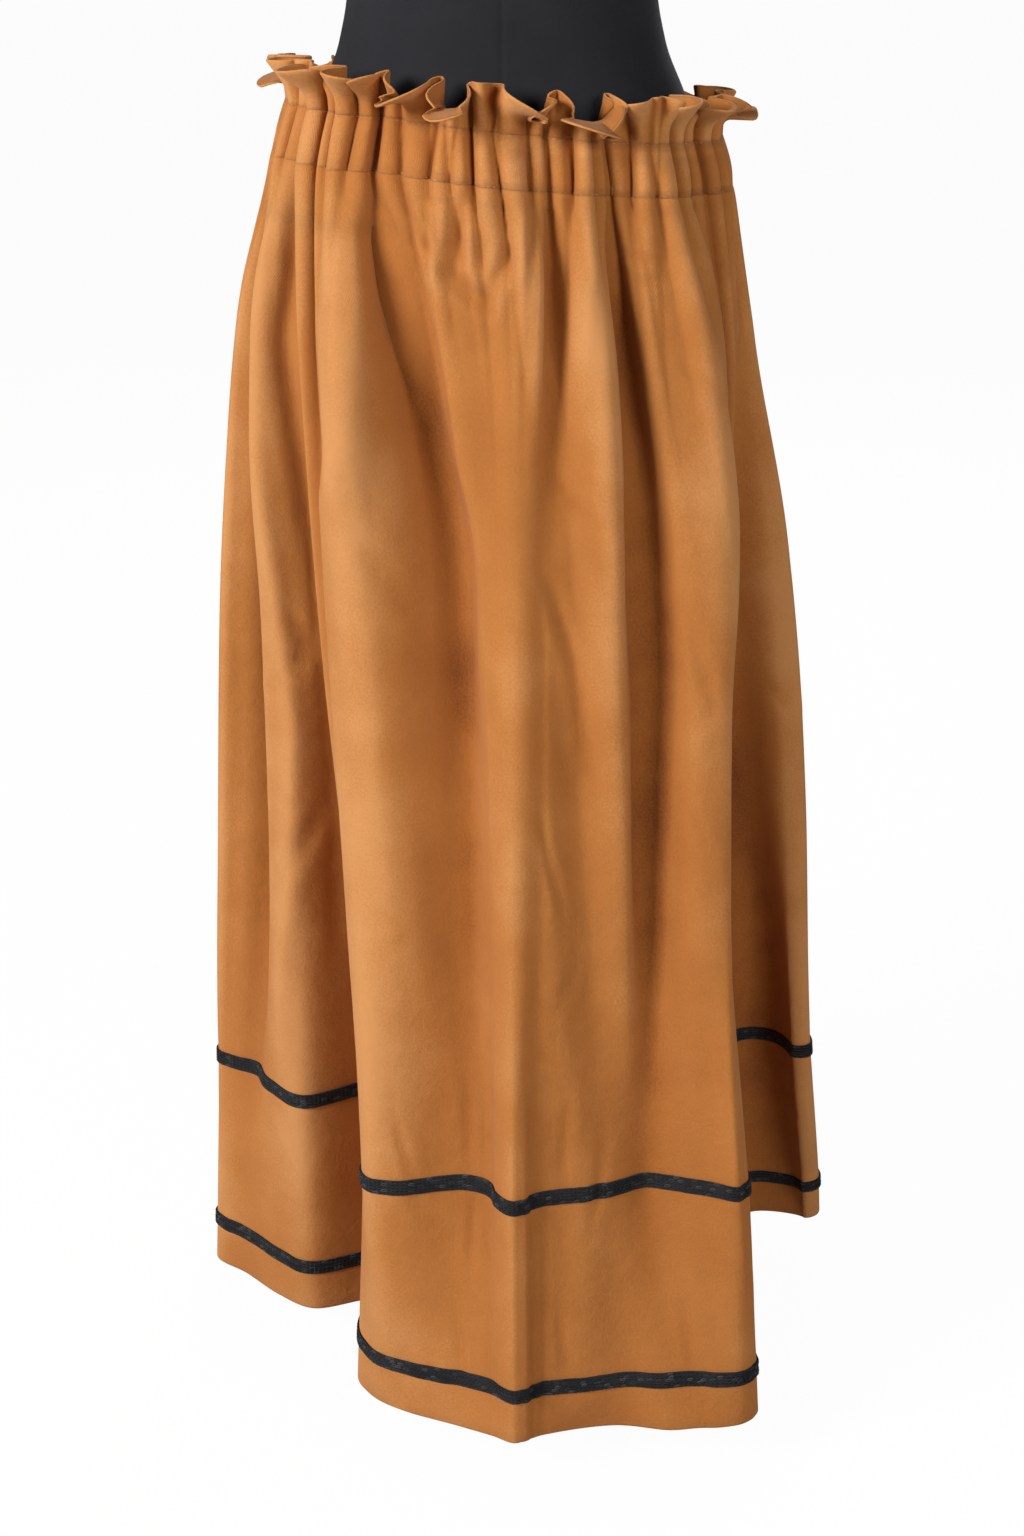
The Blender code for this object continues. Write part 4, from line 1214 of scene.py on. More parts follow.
@dataclass(frozen=True)
class StitchTree:
    """Geometry nodes that set stitches along lines."""

    kind: StitchKind
    pitch: float
    length: float
    width: float
    thread: float
    tilt: float
    seed: int

    def build(self) -> bpy.types.NodeTree:
        """Makes the tree with named inputs for its sizes.

        Returns:
            The geometry node tree.
        """
        tree = bpy.data.node_groups.new(self.kind.value, "GeometryNodeTree")
        new = tree.interface.new_socket
        new("Lines", in_out="INPUT", socket_type="NodeSocketGeometry")
        for label in ("Pitch", "Length", "Width", "Thread", "Tilt"):
            new(label, in_out="INPUT", socket_type="NodeSocketFloat")
        new("Finish", in_out="INPUT", socket_type="NodeSocketMaterial")
        new("Stitches", in_out="OUTPUT", socket_type="NodeSocketGeometry")
        given = add_node(tree, "NodeGroupInput").outputs
        made = add_node(tree, "NodeGroupOutput").inputs
        link = tree.links.new
        curve = add_node(tree, "GeometryNodeMeshToCurve")
        link(given["Lines"], curve.inputs[0])
        points = add_node(tree, "GeometryNodeCurveToPoints", mode="LENGTH")
        link(curve.outputs[0], points.inputs["Curve"])
        link(given["Pitch"], points.inputs["Length"])
        turn = add_node(tree, "FunctionNodeAxesToRotation", primary_axis="X",
                        secondary_axis="Z")
        link(points.outputs["Tangent"], turn.inputs["Primary Axis"])
        turn.inputs["Secondary Axis"].default_value = (0.0, 0.0, 1.0)
        sway = self.random(tree, -0.10, 0.10, self.seed)
        lean = add_node(tree, "ShaderNodeCombineXYZ")
        link(given["Tilt"], lean.inputs["Z"])
        link(sway, lean.inputs["Y"])
        rotate = add_node(tree, "FunctionNodeRotateRotation", rotation_space="LOCAL")
        link(turn.outputs[0], rotate.inputs[0])
        link(lean.outputs[0], rotate.inputs[1])
        place = add_node(tree, "GeometryNodeInstanceOnPoints")
        link(points.outputs["Points"], place.inputs["Points"])
        link(self.unit(tree, given), place.inputs["Instance"])
        link(rotate.outputs[0], place.inputs["Rotation"])
        # Each stitch's random tone, which the thread finish turns into painted glints on a few
        # stitches.
        tone = add_node(tree, "GeometryNodeStoreNamedAttribute", data_type="FLOAT",
                        domain="INSTANCE")
        tone.inputs["Name"].default_value = SHADE_AND_TONE_NAME
        link(place.outputs[0], tone.inputs["Geometry"])
        link(self.random(tree, 0.0, 1.0, self.seed + 7), tone.inputs["Value"])
        real = add_node(tree, "GeometryNodeRealizeInstances")
        link(tone.outputs[0], real.inputs[0])
        smooth = add_node(tree, "GeometryNodeSetShadeSmooth")
        link(real.outputs[0], smooth.inputs[0])
        dress = add_node(tree, "GeometryNodeSetMaterial")
        link(smooth.outputs[0], dress.inputs["Geometry"])
        link(given["Finish"], dress.inputs["Material"])
        link(dress.outputs[0], made["Stitches"])
        return tree

    def random(self, tree: bpy.types.NodeTree, low: float, high: float,
               seed: int) -> bpy.types.NodeSocket:
        """Adds a random value with a fixed seed and gives its output."""
        node = add_node(tree, "FunctionNodeRandomValue", data_type="FLOAT")
        live = [socket for socket in node.inputs if socket.enabled]
        live[0].default_value = low
        live[1].default_value = high
        for socket in live:
            if socket.name == "Seed":
                socket.default_value = seed
        return next(socket for socket in node.outputs if socket.enabled)

    def unit(self, tree: bpy.types.NodeTree,
             given: bpy.types.NodeOutputs) -> bpy.types.NodeSocket:
        """Adds one stitch's shape, long along X and flat in Y.

        Args:
            tree: The tree to add to.
            given: The group's inputs.

        Returns:
            The socket that gives the stitch's mesh.
        """
        link = tree.links.new
        if self.kind is StitchKind.RUNNING:
            grain = add_node(tree, "GeometryNodeMeshUVSphere")
            grain.inputs["Segments"].default_value = 6
            grain.inputs["Rings"].default_value = 5
            grain.inputs["Radius"].default_value = 0.5
            size = add_node(tree, "ShaderNodeCombineXYZ")
            for label, axis in (("Length", "X"), ("Thread", "Y"), ("Width", "Z")):
                link(given[label], size.inputs[axis])
            turned = add_node(tree, "GeometryNodeTransform")
            link(grain.outputs[0], turned.inputs["Geometry"])
            link(size.outputs[0], turned.inputs["Scale"])
            return turned.outputs[0]
        loop = add_node(tree, "GeometryNodeCurvePrimitiveCircle", mode="RADIUS")
        loop.inputs["Resolution"].default_value = 8
        loop.inputs["Radius"].default_value = 0.5
        size = add_node(tree, "ShaderNodeCombineXYZ")
        link(given["Length"], size.inputs["X"])
        link(given["Width"], size.inputs["Y"])
        turned = add_node(tree, "GeometryNodeTransform")
        link(loop.outputs[0], turned.inputs["Geometry"])
        link(size.outputs[0], turned.inputs["Scale"])
        upright = add_node(tree, "GeometryNodeTransform")
        upright.inputs["Rotation"].default_value = (math.pi / 2, 0.0, 0.0)
        link(turned.outputs[0], upright.inputs["Geometry"])
        strand = add_node(tree, "GeometryNodeCurvePrimitiveCircle", mode="RADIUS")
        strand.inputs["Resolution"].default_value = 3
        link(given["Thread"], strand.inputs["Radius"])
        tube = add_node(tree, "GeometryNodeCurveToMesh")
        link(upright.outputs[0], tube.inputs["Curve"])
        link(strand.outputs[0], tube.inputs["Profile Curve"])
        return tube.outputs[0]

    def work(self, name: str, lines: Sequence[np.ndarray],
             finish_material: bpy.types.Material) -> bpy.types.Object:
        """Works the stitches along the lines.

        Args:
            name: The finished piece's name.
            lines: Closed lines of points.
            finish_material: The thread's material.

        Returns:
            The stitches as one plain mesh object.
        """
        carrier = line_object(name + "_lines", lines)
        modifier = carrier.modifiers.new("Stitches", "NODES")
        modifier.node_group = self.build()
        values = {"Pitch": self.pitch, "Length": self.length, "Width": self.width,
                  "Thread": self.thread, "Tilt": self.tilt, "Finish": finish_material}
        for item in modifier.node_group.interface.items_tree:
            if item.in_out == "INPUT" and item.name in values:
                modifier[item.identifier] = values[item.name]
        return applied(carrier, name)


# Sub-assemblies

@dataclass
class SkirtPanels:
    """The front and the back panel, gathered above and hemmed below."""

    shape: SkirtShape
    columns_at_gather: float = 0.0021
    columns_at_hem: float = 0.0050
    seam_roll: float = 0.0007
    seam_gap: float = 0.00015
    hem_fold: float = 0.030
    hem_thickness: float = 0.0024
    top_gap: float = 0.0001
    gathered_zone: float = 0.13
    gathered_rows: int = 39
    gathered_crowding: float = 1.25
    lower_rows: int = 88
    hem_round: float = 0.002
    pieces: dict[str, bpy.types.Object] = field(default_factory=dict)

    def stations(self) -> np.ndarray:
        """Stations of the columns over one lap from the left seam, close at both seams."""
        hem = self.shape.plan(self.shape.hem_height)
        top = self.shape.plan(self.shape.gather_height)
        found = []
        for index in range(LEFT_SEAM, LEFT_SEAM + FOLD_COUNT):
            fine = index % FOLD_COUNT + np.linspace(0.0, 1.0, 13)
            low = run_along(closed_curve(hem, fine))[-1]
            high = run_along(closed_curve(top, fine))[-1]
            steps = max(3, math.ceil(high / self.columns_at_gather),
                        math.ceil(low / self.columns_at_hem))
            found += [index + step / steps for step in range(steps)]
        return np.array(found)

    def heights(self) -> np.ndarray:
        """Heights of the rows, close together under the gathers and at the hem."""
        top = self.shape.gather_height - self.top_gap
        part = np.linspace(0.0, 1.0, self.gathered_rows) ** self.gathered_crowding
        under = top - self.gathered_zone * part
        low = self.shape.hem_height + self.hem_round
        return np.concatenate([under, np.linspace(under[-1], low, self.lower_rows)[1:]])

    def build(self, cloth: bpy.types.Material) -> None:
        """Builds both panels.

        Args:
            cloth: The cotton's material.
        """
        stations = self.stations()
        lap = stations % FOLD_COUNT
        heights = self.heights()
        outer = [self.shape.ring(height, lap) for height in heights]
        right = RIGHT_SEAM + FOLD_COUNT
        spans = {"front_panel": (LEFT_SEAM, right),
                 "back_panel": (right, LEFT_SEAM + FOLD_COUNT)}
        for name, (start, end) in spans.items():
            keep = np.flatnonzero((stations >= start) & (stations <= end))
            if name == "back_panel":
                keep = np.append(keep, 0)
            self.pieces[name] = self.panel(name + "_cloth", outer, heights, keep, cloth)
        log_pieces(self.pieces)

    def wall_at(self, height: float) -> float:
        """The wall's thickness, which is more where the hem is turned up."""
        turned = height < self.shape.hem_height + self.hem_fold
        return self.hem_thickness if turned else self.shape.cloth_wall

    def panel(self, name: str, outer: list[np.ndarray], heights: np.ndarray,
              keep: np.ndarray, cloth: bpy.types.Material) -> bpy.types.Object:
        """Builds one panel from the part of the rings that it covers.

        Args:
            name: The piece's name.
            outer: The rings of the outer surface, from the gathers down.
            heights: The rings' levels.
            keep: Indices of the ring points that the panel has.
            cloth: The cotton's material.

        Returns:
            The panel.
        """
        shell = Shell(name, closed=False)
        normals = [standing_normals(ring) for ring in outer]
        roll = np.zeros(len(keep))
        roll[[0, -1]] = self.seam_roll
        roll[[1, -2]] = self.seam_roll * 0.25
        widths = []
        for ring, normal, height in zip(outer, normals, heights):
            points = ring[keep] - normal[keep] * roll[:, None]
            self.draw_ends(points)
            run = run_along(points)
            widths.append(run - run[len(run) // 2])
            # Painted shade and highlight: each point's hollow mask darkens hollows and lightens crests.
            shell.add(points, np.column_stack([widths[-1], np.full(len(run), height)]),
                      hollow_shade_mask(ring)[keep])
        last = len(heights) - 1
        bottom = outer[last][keep]
        inward = normals[last][keep]
        # The hem's rim rows get tone 0, a painted highlight along its lower edge.
        for out, down in ((0.12, 0.0012), (0.5, 0.002), (0.88, 0.0012)):
            points = bottom - inward * (self.hem_thickness * out)
            points[:, 2] = self.shape.hem_height + self.hem_round - down
            shell.add(points, np.column_stack([widths[last], np.full(len(keep), -down)]), 0.0)
        for index in range(last, -1, -1):
            points = outer[index][keep] - normals[index][keep] * self.wall_at(heights[index])
            self.draw_ends(points)
            shell.add(points, np.column_stack([widths[index],
                                               np.full(len(keep), -heights[index])]))
        return shell.build([cloth])

    def draw_ends(self, points: np.ndarray) -> None:
        """Draws both ends of a row in, which leaves the gap at the side seams."""
        points[0] += (points[1] - points[0]) * self.pull(points[0], points[1])
        points[-1] += (points[-2] - points[-1]) * self.pull(points[-1], points[-2])

    def pull(self, a: np.ndarray, b: np.ndarray) -> float:
        """Part of the way from one point to the next that leaves the seam's gap."""
        return min(0.4, self.seam_gap / max(float(np.linalg.norm(b - a)), 1e-6))


@dataclass
class Waist:
    """The elastic casing with its two stitch rows, and the frilled heading above it."""

    shape: SkirtShape
    columns: int = 920
    casing_rows: int = 15
    frill_depth: float = 0.031
    frill_rows: int = 13
    foot: float = 0.14
    bend: float = 0.46
    cusp: float = 0.72
    full_lean: float = 100.0
    frill_wall: float = 0.0020
    flute: float = 0.0010
    flute_share: float = 0.9
    flute_scale: float = 6.0
    flute_seed: float = 4.4
    flute_size: float = 1.5
    sharp_part: float = 0.35
    smoothing: int = 60
    growth: float = 1.3
    stitch_inset: float = 0.0006
    stitch_lift: float = 0.0001
    overlap: float = 0.0002
    pieces: dict[str, bpy.types.Object] = field(default_factory=dict)

    def build(self, cloth: bpy.types.Material, thread: bpy.types.Material) -> None:
        """Builds the casing, the heading and the two rows of running stitch.

        Args:
            cloth: The cotton's material.
            thread: The sewing thread's material.
        """
        shares = np.arange(self.columns) / self.columns
        stations = self.shape.gather_stations(shares)
        self.pieces["waist_casing"] = self.casing(stations, cloth)
        self.pieces["heading_frill"] = self.frill(stations, cloth)
        tree = StitchTree(StitchKind.RUNNING, pitch=0.0044, length=0.0021, width=0.0006,
                          thread=0.0005, tilt=0.0, seed=11)
        rows = []
        for above in (self.stitch_inset, self.shape.casing_depth - self.stitch_inset):
            ring = self.shape.casing_ring(above, stations)
            rows.append(ring + standing_normals(ring) * self.stitch_lift)
        self.pieces["casing_stitches"] = tree.work("casing_stitches", rows, thread)
        log_pieces(self.pieces)

    def casing(self, stations: np.ndarray, cloth: bpy.types.Material) -> bpy.types.Object:
        """Builds the casing as a closed tube wall."""
        shell = Shell("waist_casing_cloth", closed=True)
        levels = np.linspace(-self.stitch_inset, self.shape.casing_depth + self.overlap,
                             self.casing_rows)
        rings = [self.shape.casing_ring(level, stations) for level in levels]
        for ring, level in zip(rings, levels):
            shell.add(ring, self.uv(ring, self.shape.gather_height + level), self.tone(ring))
        for ring, level in zip(rings[::-1], levels[::-1]):
            inner = ring[:, :2] - level_normals(ring[:, :2]) * self.shape.casing_wall
            inner = np.column_stack([inner, ring[:, 2]])
            shell.add(inner, self.uv(ring, -level))
        return shell.build([cloth])

    def uv(self, ring: np.ndarray, height: float) -> np.ndarray:
        """Metre-true UVs along a closed ring."""
        return np.column_stack([run_along(ring), np.full(len(ring), height)])

    def tone(self, ring: np.ndarray) -> np.ndarray:
        """How far a closed ring's points lie into the gathers: the mask for painted shade in hollows
        and painted highlight on crests.
        """
        return hollow_shade_mask(ring, (7, 22), (0.0026, 0.0150))

    def edge(self, bearing: np.ndarray) -> np.ndarray:
        """Lean in radians, and out and slide in metres, of the heading's top edge.

        Args:
            bearing: Bearings of the columns in radians.

        Returns:
            One row for each column, with a soft turn at every corner of the edge.
        """
        table = np.array(EDGE)
        turn = np.degrees(bearing) % 360.0
        rows = np.column_stack([np.interp(turn, table[:, 0], table[:, part], period=360.0)
                                for part in (1, 2, 3)])
        part = np.abs(rows[:, 0] / self.full_lean) ** self.cusp
        rows[:, 0] = np.sign(rows[:, 0]) * self.full_lean * part
        for _ in range(2):
            rows = (np.roll(rows, 1, axis=0) + 2.0 * rows + np.roll(rows, -1, axis=0)) / 4.0
        return rows * (math.radians(1.0), 0.001, 0.001)

    def frill(self, stations: np.ndarray, cloth: bpy.types.Material) -> bpy.types.Object:
        """Builds the heading: it stands on the casing, bends, and hangs out in tongues."""
        foot = self.shape.casing_ring(self.shape.casing_depth + self.overlap, stations)
        smooth = foot.copy()
        for _ in range(self.smoothing):
            smooth = (np.roll(smooth, 1, axis=0) + smooth + np.roll(smooth, -1, axis=0)) / 3
        sharp = level_normals(foot[:, :2])
        soft = level_normals(smooth[:, :2])
        normal = self.sharp_part * sharp + (1.0 - self.sharp_part) * soft
        normal /= np.linalg.norm(normal, axis=1, keepdims=True)
        bearing = np.arctan2(foot[:, 1], foot[:, 0])
        lean, push, slide = self.edge(bearing).T
        side = np.column_stack([-normal[:, 1], normal[:, 0]])
        shares = np.linspace(0.0, 1.0, self.frill_rows)
        flutes = self.flutes(stations)
        outer = [foot]
        for low, high in zip(shares, shares[1:]):
            middle = (low + high) / 2
            curl = lean * smooth_step(np.full(len(lean), (middle - self.foot) / self.bend))
            step = self.frill_depth * (high - low)
            grown = high ** self.growth - low ** self.growth
            out = np.sin(curl) * step + flutes * (high - low) + push * grown
            level = normal * out[:, None] + side * (slide * grown)[:, None]
            move = np.column_stack([level, np.cos(curl) * step])
            outer.append(outer[-1] + move)
        return self.double(outer, cloth)

    def flutes(self, stations: np.ndarray) -> np.ndarray:
        """Small in-and-out waves of the heading's edge, uneven round the waist."""
        shares = self.shape.gather_shares(stations)
        wave = self.shape.gather_relief(shares, -self.shape.casing_depth) * self.flute_share
        turns = 2 * math.pi * shares
        slow = np.array([noise.noise(Vector((math.cos(turn) * self.flute_scale,
                                             math.sin(turn) * self.flute_scale,
                                             self.flute_seed))) for turn in turns])
        return wave - wave.mean() + self.flute * self.flute_size * slow

    def double(self, outer: list[np.ndarray], cloth: bpy.types.Material) -> bpy.types.Object:
        """Gives the frill its folded double wall, round at the top edge."""
        grid = np.array(outer)
        along = np.roll(grid, -1, axis=1) - np.roll(grid, 1, axis=1)
        up = np.gradient(grid, axis=0)
        normal = np.cross(along, up)
        normal /= np.linalg.norm(normal, axis=2, keepdims=True)
        for _ in range(3):
            normal = (np.roll(normal, 1, axis=1) + normal + np.roll(normal, -1, axis=1))
            normal /= np.linalg.norm(normal, axis=2, keepdims=True)
        rise = up[-1] / np.linalg.norm(up[-1], axis=1, keepdims=True)
        shell = Shell("heading_frill_cloth", closed=True)
        heights = np.linspace(0.0, self.frill_depth, len(outer))
        for ring, height in zip(grid, heights):
            shell.add(ring, self.uv(grid[0], 1.1 + height), self.tone(ring))
        # The rows round the top edge get tone 0, a painted highlight along the fold.
        for part in (0.2, 0.5, 0.8):
            lift = math.sin(math.pi * part) * self.frill_wall * 0.5
            ring = grid[-1] - normal[-1] * (self.frill_wall * part) + rise * lift
            shell.add(ring, self.uv(grid[0], 1.1 + self.frill_depth + 0.001), 0.0)
        for level in range(len(outer) - 1, -1, -1):
            ring = grid[level] - normal[level] * self.frill_wall
            shell.add(ring, self.uv(grid[0], 1.3 - heights[level]))
        return shell.build([cloth])


@dataclass
class Braids:
    """The two bands of black chain stitch, five rows wide."""

    shape: SkirtShape
    width: float = 0.0128
    rows: int = 5
    points: int = 1400
    ground: float = 0.0008
    wander: float = 0.0004
    wander_scale: float = 24.0
    wander_step: float = 3.1
    row_lift: float = 0.0006
    edge_inset: float = 0.0004
    pieces: dict[str, bpy.types.Object] = field(default_factory=dict)

    def build(self, thread: bpy.types.Material) -> None:
        """Builds both bands: a dense ground of thread with the chain rows on it.

        Args:
            thread: The black thread's material.
        """
        stations = np.arange(self.points) * FOLD_COUNT / self.points
        for number, (name, above) in enumerate(BANDS.items()):
            middle = self.shape.hem_height + above
            tree = StitchTree(StitchKind.CHAIN, pitch=0.0036, length=0.0048, width=0.0019,
                              thread=0.00046, tilt=0.06, seed=31 + number)
            pitch = self.width / self.rows
            lines = []
            for row in range(self.rows):
                offset = (row - (self.rows - 1) / 2) * pitch
                lines.append(self.line(middle + offset, stations, row + 10 * number))
            stitches = tree.work(name + "_chains", lines, thread)
            ground = self.strip(name + "_ground", middle, stations, thread)
            self.pieces[name] = joined(name + "_stitches", [ground, stitches])
        log_pieces(self.pieces)

    def line(self, height: float, stations: np.ndarray, seed: int) -> np.ndarray:
        """One chain row's line on the cloth, which wanders a little up and down."""
        ring = self.shape.ring(height, stations, self.ground + self.row_lift)
        run = run_along(ring)
        for index, place in enumerate(run):
            at = Vector((place * self.wander_scale, seed * self.wander_step, 0.0))
            ring[index, 2] += self.wander * noise.noise(at)
        return ring

    def strip(self, name: str, middle: float, stations: np.ndarray,
              thread: bpy.types.Material) -> bpy.types.Object:
        """The dense ground under the chain rows, as a thin closed strip."""
        shell = Shell(name, closed=True)
        half = self.width / 2 - self.edge_inset
        offsets = np.linspace(-half, half, 4)
        for lift, order in ((self.ground, offsets), (0.0001, offsets[::-1])):
            for offset in order:
                ring = self.shape.ring(middle + float(offset), stations, lift)
                shell.add(ring, np.column_stack([run_along(ring),
                                                 np.full(len(ring), offset)]))
        return shell.build([thread])


def joined(name: str, parts: Sequence[bpy.types.Object]) -> bpy.types.Object:
    """Joins plain mesh objects that share their material into one object.

    Args:
        name: The new object's name.
        parts: The objects; they are removed.

    Returns:
        The joined object.
    """
    bm = bmesh.new()
    material = parts[0].data.materials[0]
    for part in parts:
        bm.from_mesh(part.data)
    mesh = bpy.data.meshes.new(name)
    bm.to_mesh(mesh)
    bm.free()
    for part in parts:
        bpy.data.objects.remove(part)
    mesh.materials.clear()
    mesh.materials.append(material)
    mesh.polygons.foreach_set("material_index", [0] * len(mesh.polygons))
    return placed(name, mesh)


@dataclass
class DressForm:
    """The padded torso under its jersey, the neck cap, the pole and the base plate."""

    shape: DressFormShape
    sides: int = 144
    levels: int = 132
    seam_bearings: tuple[float, ...] = (270.0, 90.0, 356.0, 184.0)
    seam_depth: float = 0.0007
    seam_width: float = 0.0022
    base_radius: float = 0.132
    base_thickness: float = 0.012
    hub_radius: float = 0.024
    hub_height: float = 0.030
    pole_radius: float = 0.0125
    cap_radius: float = 0.056
    cap_height: float = 0.018
    seam_gap: float = 0.0003
    pieces: dict[str, bpy.types.Object] = field(default_factory=dict)

    def build(self, jersey: bpy.types.Material, paint: bpy.types.Material,
              steel: bpy.types.Material) -> None:
        """Builds the torso and the turned pieces.

        Args:
            jersey: The cover's material.
            paint: The neck cap's material.
            steel: The pole's and the base plate's material.
        """
        self.pieces["form_torso"] = self.torso(jersey)
        neck = FORM_SECTIONS[-1].height + self.seam_gap
        r, h = self.cap_radius, self.cap_height
        self.pieces["form_neck_cap"] = self.turned("form_neck_cap_turned", [
            (0.0, neck + h), (r * 0.40, neck + h * 0.985), (r * 0.66, neck + h * 0.93),
            (r * 0.82, neck + h * 0.83), (r * 0.92, neck + h * 0.70), (r * 0.975, neck + h * 0.52),
            (r * 0.995, neck + h * 0.34), (r, neck + h * 0.18), (r, neck + h * 0.06),
            (r * 0.99, neck), (0.0, neck)], paint)
        top = self.base_thickness + self.hub_height
        b, t, k = self.base_radius, self.base_thickness, self.hub_radius
        self.pieces["form_base"] = self.turned("form_base_turned", [
            (0.0, top), (k * 0.80, top), (k * 0.93, top - 0.001), (k * 0.99, top - 0.004),
            (k, top - 0.007), (k, t + 0.003), (k + 0.001, t + 0.001), (k + 0.003, t),
            (b - 0.006, t), (b - 0.0035, t - 0.0006), (b - 0.0012, t - 0.0022),
            (b - 0.0002, t - 0.0045), (b, t - 0.006), (b, 0.0006), (b - 0.0006, 0.0),
            (0.0, 0.0)], steel)
        pole = FORM_SECTIONS[0].height - self.seam_gap
        p = self.pole_radius
        self.pieces["form_pole"] = self.turned("form_pole_turned", [
            (0.0, pole), (p - 0.0005, pole), (p, pole - 0.0005), (p, top + 0.0008),
            (p - 0.0005, top + self.seam_gap), (0.0, top + self.seam_gap)], steel)
        log_pieces(self.pieces)

    def torso(self, jersey: bpy.types.Material) -> bpy.types.Object:
        """Builds the torso with its cover's pressed seams."""
        low, high = FORM_SECTIONS[0].height, FORM_SECTIONS[-1].height
        heights = np.concatenate([low + np.array([0.0, 0.002, 0.004, 0.006]),
                                  np.linspace(low + 0.008, high, self.levels)])
        bearing = self.bearings()
        points, uvs = [], []
        for height in heights:
            reach = self.shape.reach(bearing, np.full(len(bearing), height))
            for seam in self.seam_bearings:
                off = np.abs((np.degrees(bearing) - seam + 180.0) % 360.0 - 180.0)
                off = np.radians(off) * reach
                reach = reach - self.seam_depth * np.exp(-((off / self.seam_width) ** 2))
            ring = np.column_stack([reach * np.cos(bearing), reach * np.sin(bearing),
                                    np.full(len(bearing), height)])
            points.append(ring)
            uvs.append(np.column_stack([bearing * 0.13, np.full(len(bearing), height)]))
        count = len(bearing)
        faces = [(level * count + i, level * count + (i + 1) % count,
                  (level + 1) * count + (i + 1) % count, (level + 1) * count + i)
                 for level in range(len(heights) - 1) for i in range(count)]
        total = len(heights) * count
        middle = [(0.0, 0.0, low), (0.0, 0.0, high)]
        faces += [((i + 1) % count, i, total) for i in range(count)]
        top = total - count
        faces += [(top + i, top + (i + 1) % count, total + 1) for i in range(count)]
        mesh = bpy.data.meshes.new("form_torso_cover")
        mesh.from_pydata(np.concatenate(points).tolist() + middle, [], faces)
        write_uv(mesh, np.concatenate(uvs + [np.array([(0.0, low), (0.0, high)])]))
        obj = finish("form_torso_cover", mesh, [jersey])
        obj.data.set_sharp_from_angle(angle=math.radians(50))
        return obj

    def bearings(self) -> np.ndarray:
        """Bearings of the torso's columns, close together at the cover's seams."""
        found = set(round(360.0 * side / self.sides, 3) for side in range(self.sides))
        for seam in self.seam_bearings:
            found |= {round((seam + off) % 360.0, 3) for off in (-1.6, -0.8, 0.0, 0.8, 1.6)}
        values = sorted(found)
        kept = [value for value, after in zip(values, values[1:] + [values[0] + 360.0])
                if after - value > 0.3]
        return np.radians(np.array(kept))

    def turned(self, name: str, profile: list[tuple[float, float]],
               material: bpy.types.Material) -> bpy.types.Object:
        """Spins a profile of (radius, height) round the axis.

        Args:
            name: The piece's name.
            profile: The profile from the top down, with both ends on the axis.
            material: The piece's material.

        Returns:
            The turned piece.
        """
        mesh = bpy.data.meshes.new(name)
        points, faces = [(0.0, 0.0, profile[0][1])], []
        for radius, height in profile[1:-1]:
            points += [(radius * math.cos(2 * math.pi * side / self.sides),
                        radius * math.sin(2 * math.pi * side / self.sides), height)
                       for side in range(self.sides)]
        points.append((0.0, 0.0, profile[-1][1]))
        last = len(points) - 1
        for side in range(self.sides):
            after = (side + 1) % self.sides
            faces.append((0, 1 + side, 1 + after))
            for level in range(len(profile) - 3):
                a, b = 1 + level * self.sides, 1 + (level + 1) * self.sides
                faces.append((a + side, b + side, b + after, a + after))
            foot = last - self.sides
            faces.append((foot + after, foot + side, last))
        mesh.from_pydata(points, [], faces)
        obj = finish(name, mesh, [material])
        obj.data.set_sharp_from_angle(angle=math.radians(40))
        return obj


class Lamp(NamedTuple):
    """A soft area light: where it stands, what it points at, its side in metres and its watts."""

    name: str
    place: tuple[float, float, float]
    target: tuple[float, float, float]
    size: float
    power: float


LAMPS = (
    Lamp("key", (-2.7, -1.9, 2.1), (0.0, 0.0, 0.50), 1.3, 162.0),
    Lamp("fill", (2.1, -2.5, 1.9), (0.0, 0.0, 0.50), 1.3, 56.0),
    Lamp("back", (0.6, 3.0, 2.6), (0.0, 0.0, 0.8), 1.6, 60.0),
)


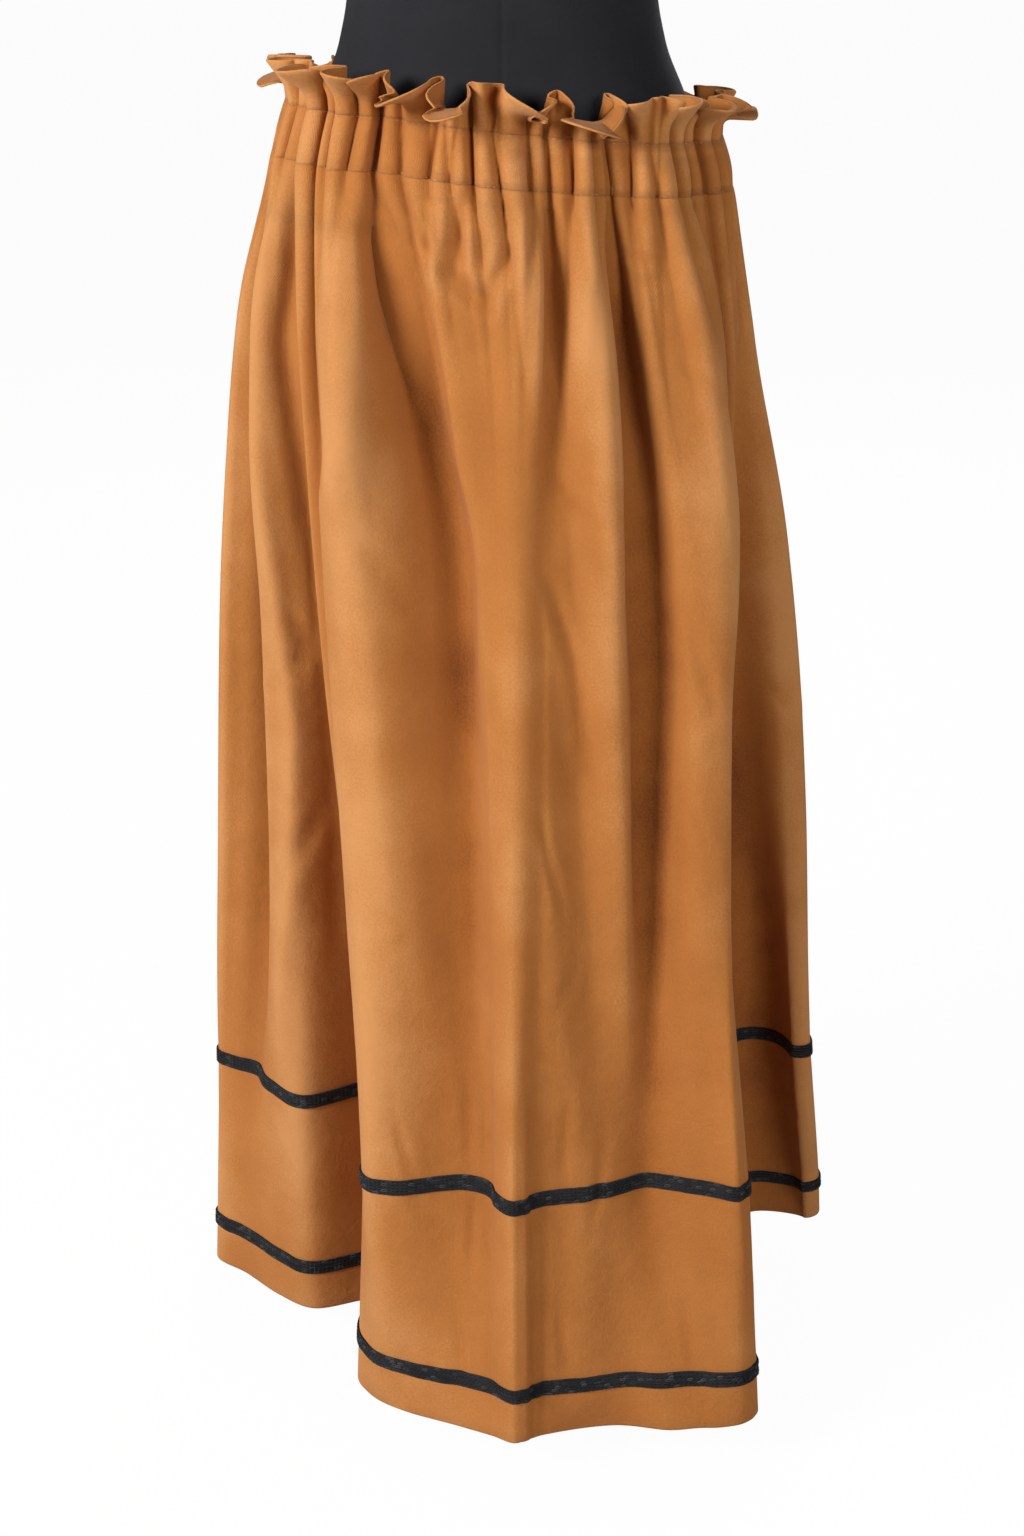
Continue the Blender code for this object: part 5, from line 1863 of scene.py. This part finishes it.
@dataclass
class Studio:
    """The floor, the white surround, the lights and the camera."""

    floor_size: float = 60.0
    camera_place: tuple[float, float, float] = (0.007, -1.65, 1.1865)
    camera_pitch: float = 22.0
    lens: float = 50.0
    sensor: float = 36.0
    floor_colour: tuple[float, float, float] = (0.48, 0.45, 0.41)
    floor_roughness: float = 0.9
    floor_glow: float = 1.03
    floor_seen: float = 0.94
    backdrop: tuple[float, float, float] = (0.985, 0.985, 0.985)
    sky: tuple[float, float, float] = (1.0, 0.84, 0.66)
    sky_strength: float = 0.062

    def build(self) -> None:
        """Builds the stage."""
        self.floor()
        self.surround()
        for lamp in LAMPS:
            self.light(lamp)
        camera = bpy.data.cameras.new("camera")
        camera.lens = self.lens
        camera.sensor_width = self.sensor
        obj = placed("camera", camera)
        obj.location = self.camera_place
        obj.rotation_euler = Euler((math.radians(90.0 - self.camera_pitch), 0.0, 0.0))
        bpy.context.scene.camera = obj
        bpy.context.scene.view_settings.view_transform = "Standard"

    def floor(self) -> None:
        """A plain pale floor that the camera sees as near white."""
        half = self.floor_size / 2
        mesh = bpy.data.meshes.new("floor")
        mesh.from_pydata([(-half, -half, 0.0), (half, -half, 0.0), (half, half, 0.0),
                          (-half, half, 0.0)], [], [(0, 1, 2, 3)])
        material, tree, shader = new_material("pale_floor")
        shader.inputs["Base Color"].default_value = (*self.floor_colour, 1.0)
        shader.inputs["Roughness"].default_value = self.floor_roughness
        glow = add_node(tree, "ShaderNodeEmission")
        glow.inputs["Strength"].default_value = self.floor_glow
        path = add_node(tree, "ShaderNodeLightPath")
        mix = add_node(tree, "ShaderNodeMixShader")
        part = math_node(tree, "MULTIPLY", path.outputs["Is Camera Ray"], self.floor_seen)
        tree.links.new(part, mix.inputs[0])
        tree.links.new(shader.outputs[0], mix.inputs[1])
        tree.links.new(glow.outputs[0], mix.inputs[2])
        tree.links.new(mix.outputs[0], tree.nodes["Material Output"].inputs["Surface"])
        mesh.materials.append(material)
        obj = placed("floor", mesh)

    def surround(self) -> None:
        """A world that is white to the camera and a soft light to everything else."""
        world = bpy.data.worlds.new("surround")
        world.use_nodes = True
        tree = world.node_tree
        seen = tree.nodes["Background"]
        seen.inputs["Color"].default_value = (*self.backdrop, 1.0)
        lit = add_node(tree, "ShaderNodeBackground")
        lit.inputs["Color"].default_value = (*self.sky, 1.0)
        lit.inputs["Strength"].default_value = self.sky_strength
        path = add_node(tree, "ShaderNodeLightPath")
        mix = add_node(tree, "ShaderNodeMixShader")
        tree.links.new(path.outputs["Is Camera Ray"], mix.inputs[0])
        tree.links.new(lit.outputs[0], mix.inputs[1])
        tree.links.new(seen.outputs[0], mix.inputs[2])
        tree.links.new(mix.outputs[0], tree.nodes["World Output"].inputs["Surface"])
        bpy.context.scene.world = world

    def light(self, lamp: Lamp) -> None:
        """Adds one soft area light."""
        data = bpy.data.lights.new(lamp.name, "AREA")
        data.size = lamp.size
        data.energy = lamp.power
        obj = placed(lamp.name, data)
        obj.location = lamp.place
        aim = Vector(lamp.target) - Vector(lamp.place)
        obj.rotation_euler = aim.to_track_quat("-Z", "Y").to_euler()


def take_over(piece: bpy.types.Object, node: str) -> None:
    """Lets a piece stand for a CAD node and ride on the part."""
    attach(piece, PieceBody.ROOT.value)
    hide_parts(node)


def main() -> None:
    """Builds the whole visual model and reports each piece."""
    logging.basicConfig(level=logging.INFO, format="%(name)s: %(message)s")
    cotton = COTTON.build()
    ochre_thread = OCHRE_THREAD.build()
    black_thread = BLACK_THREAD.build()
    shape = SkirtShape()
    panels = SkirtPanels(shape)
    panels.build(cotton)
    waist = Waist(shape)
    waist.build(cotton, ochre_thread)
    braids = Braids(shape)
    braids.build(black_thread)
    form = DressForm(shape.form)
    form.build(JERSEY.build(), CAP_PAINT.build(), STEEL.build())
    for name, piece in panels.pieces.items():
        take_over(piece, name)
    for name in ("waist_casing", "heading_frill"):
        take_over(waist.pieces[name], name)
    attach(waist.pieces["casing_stitches"], PieceBody.ROOT.value)
    for name, piece in braids.pieces.items():
        take_over(piece, name)
    for name, piece in form.pieces.items():
        take_over(piece, name)
    Studio().build()


if __name__ == "__main__":
    main()
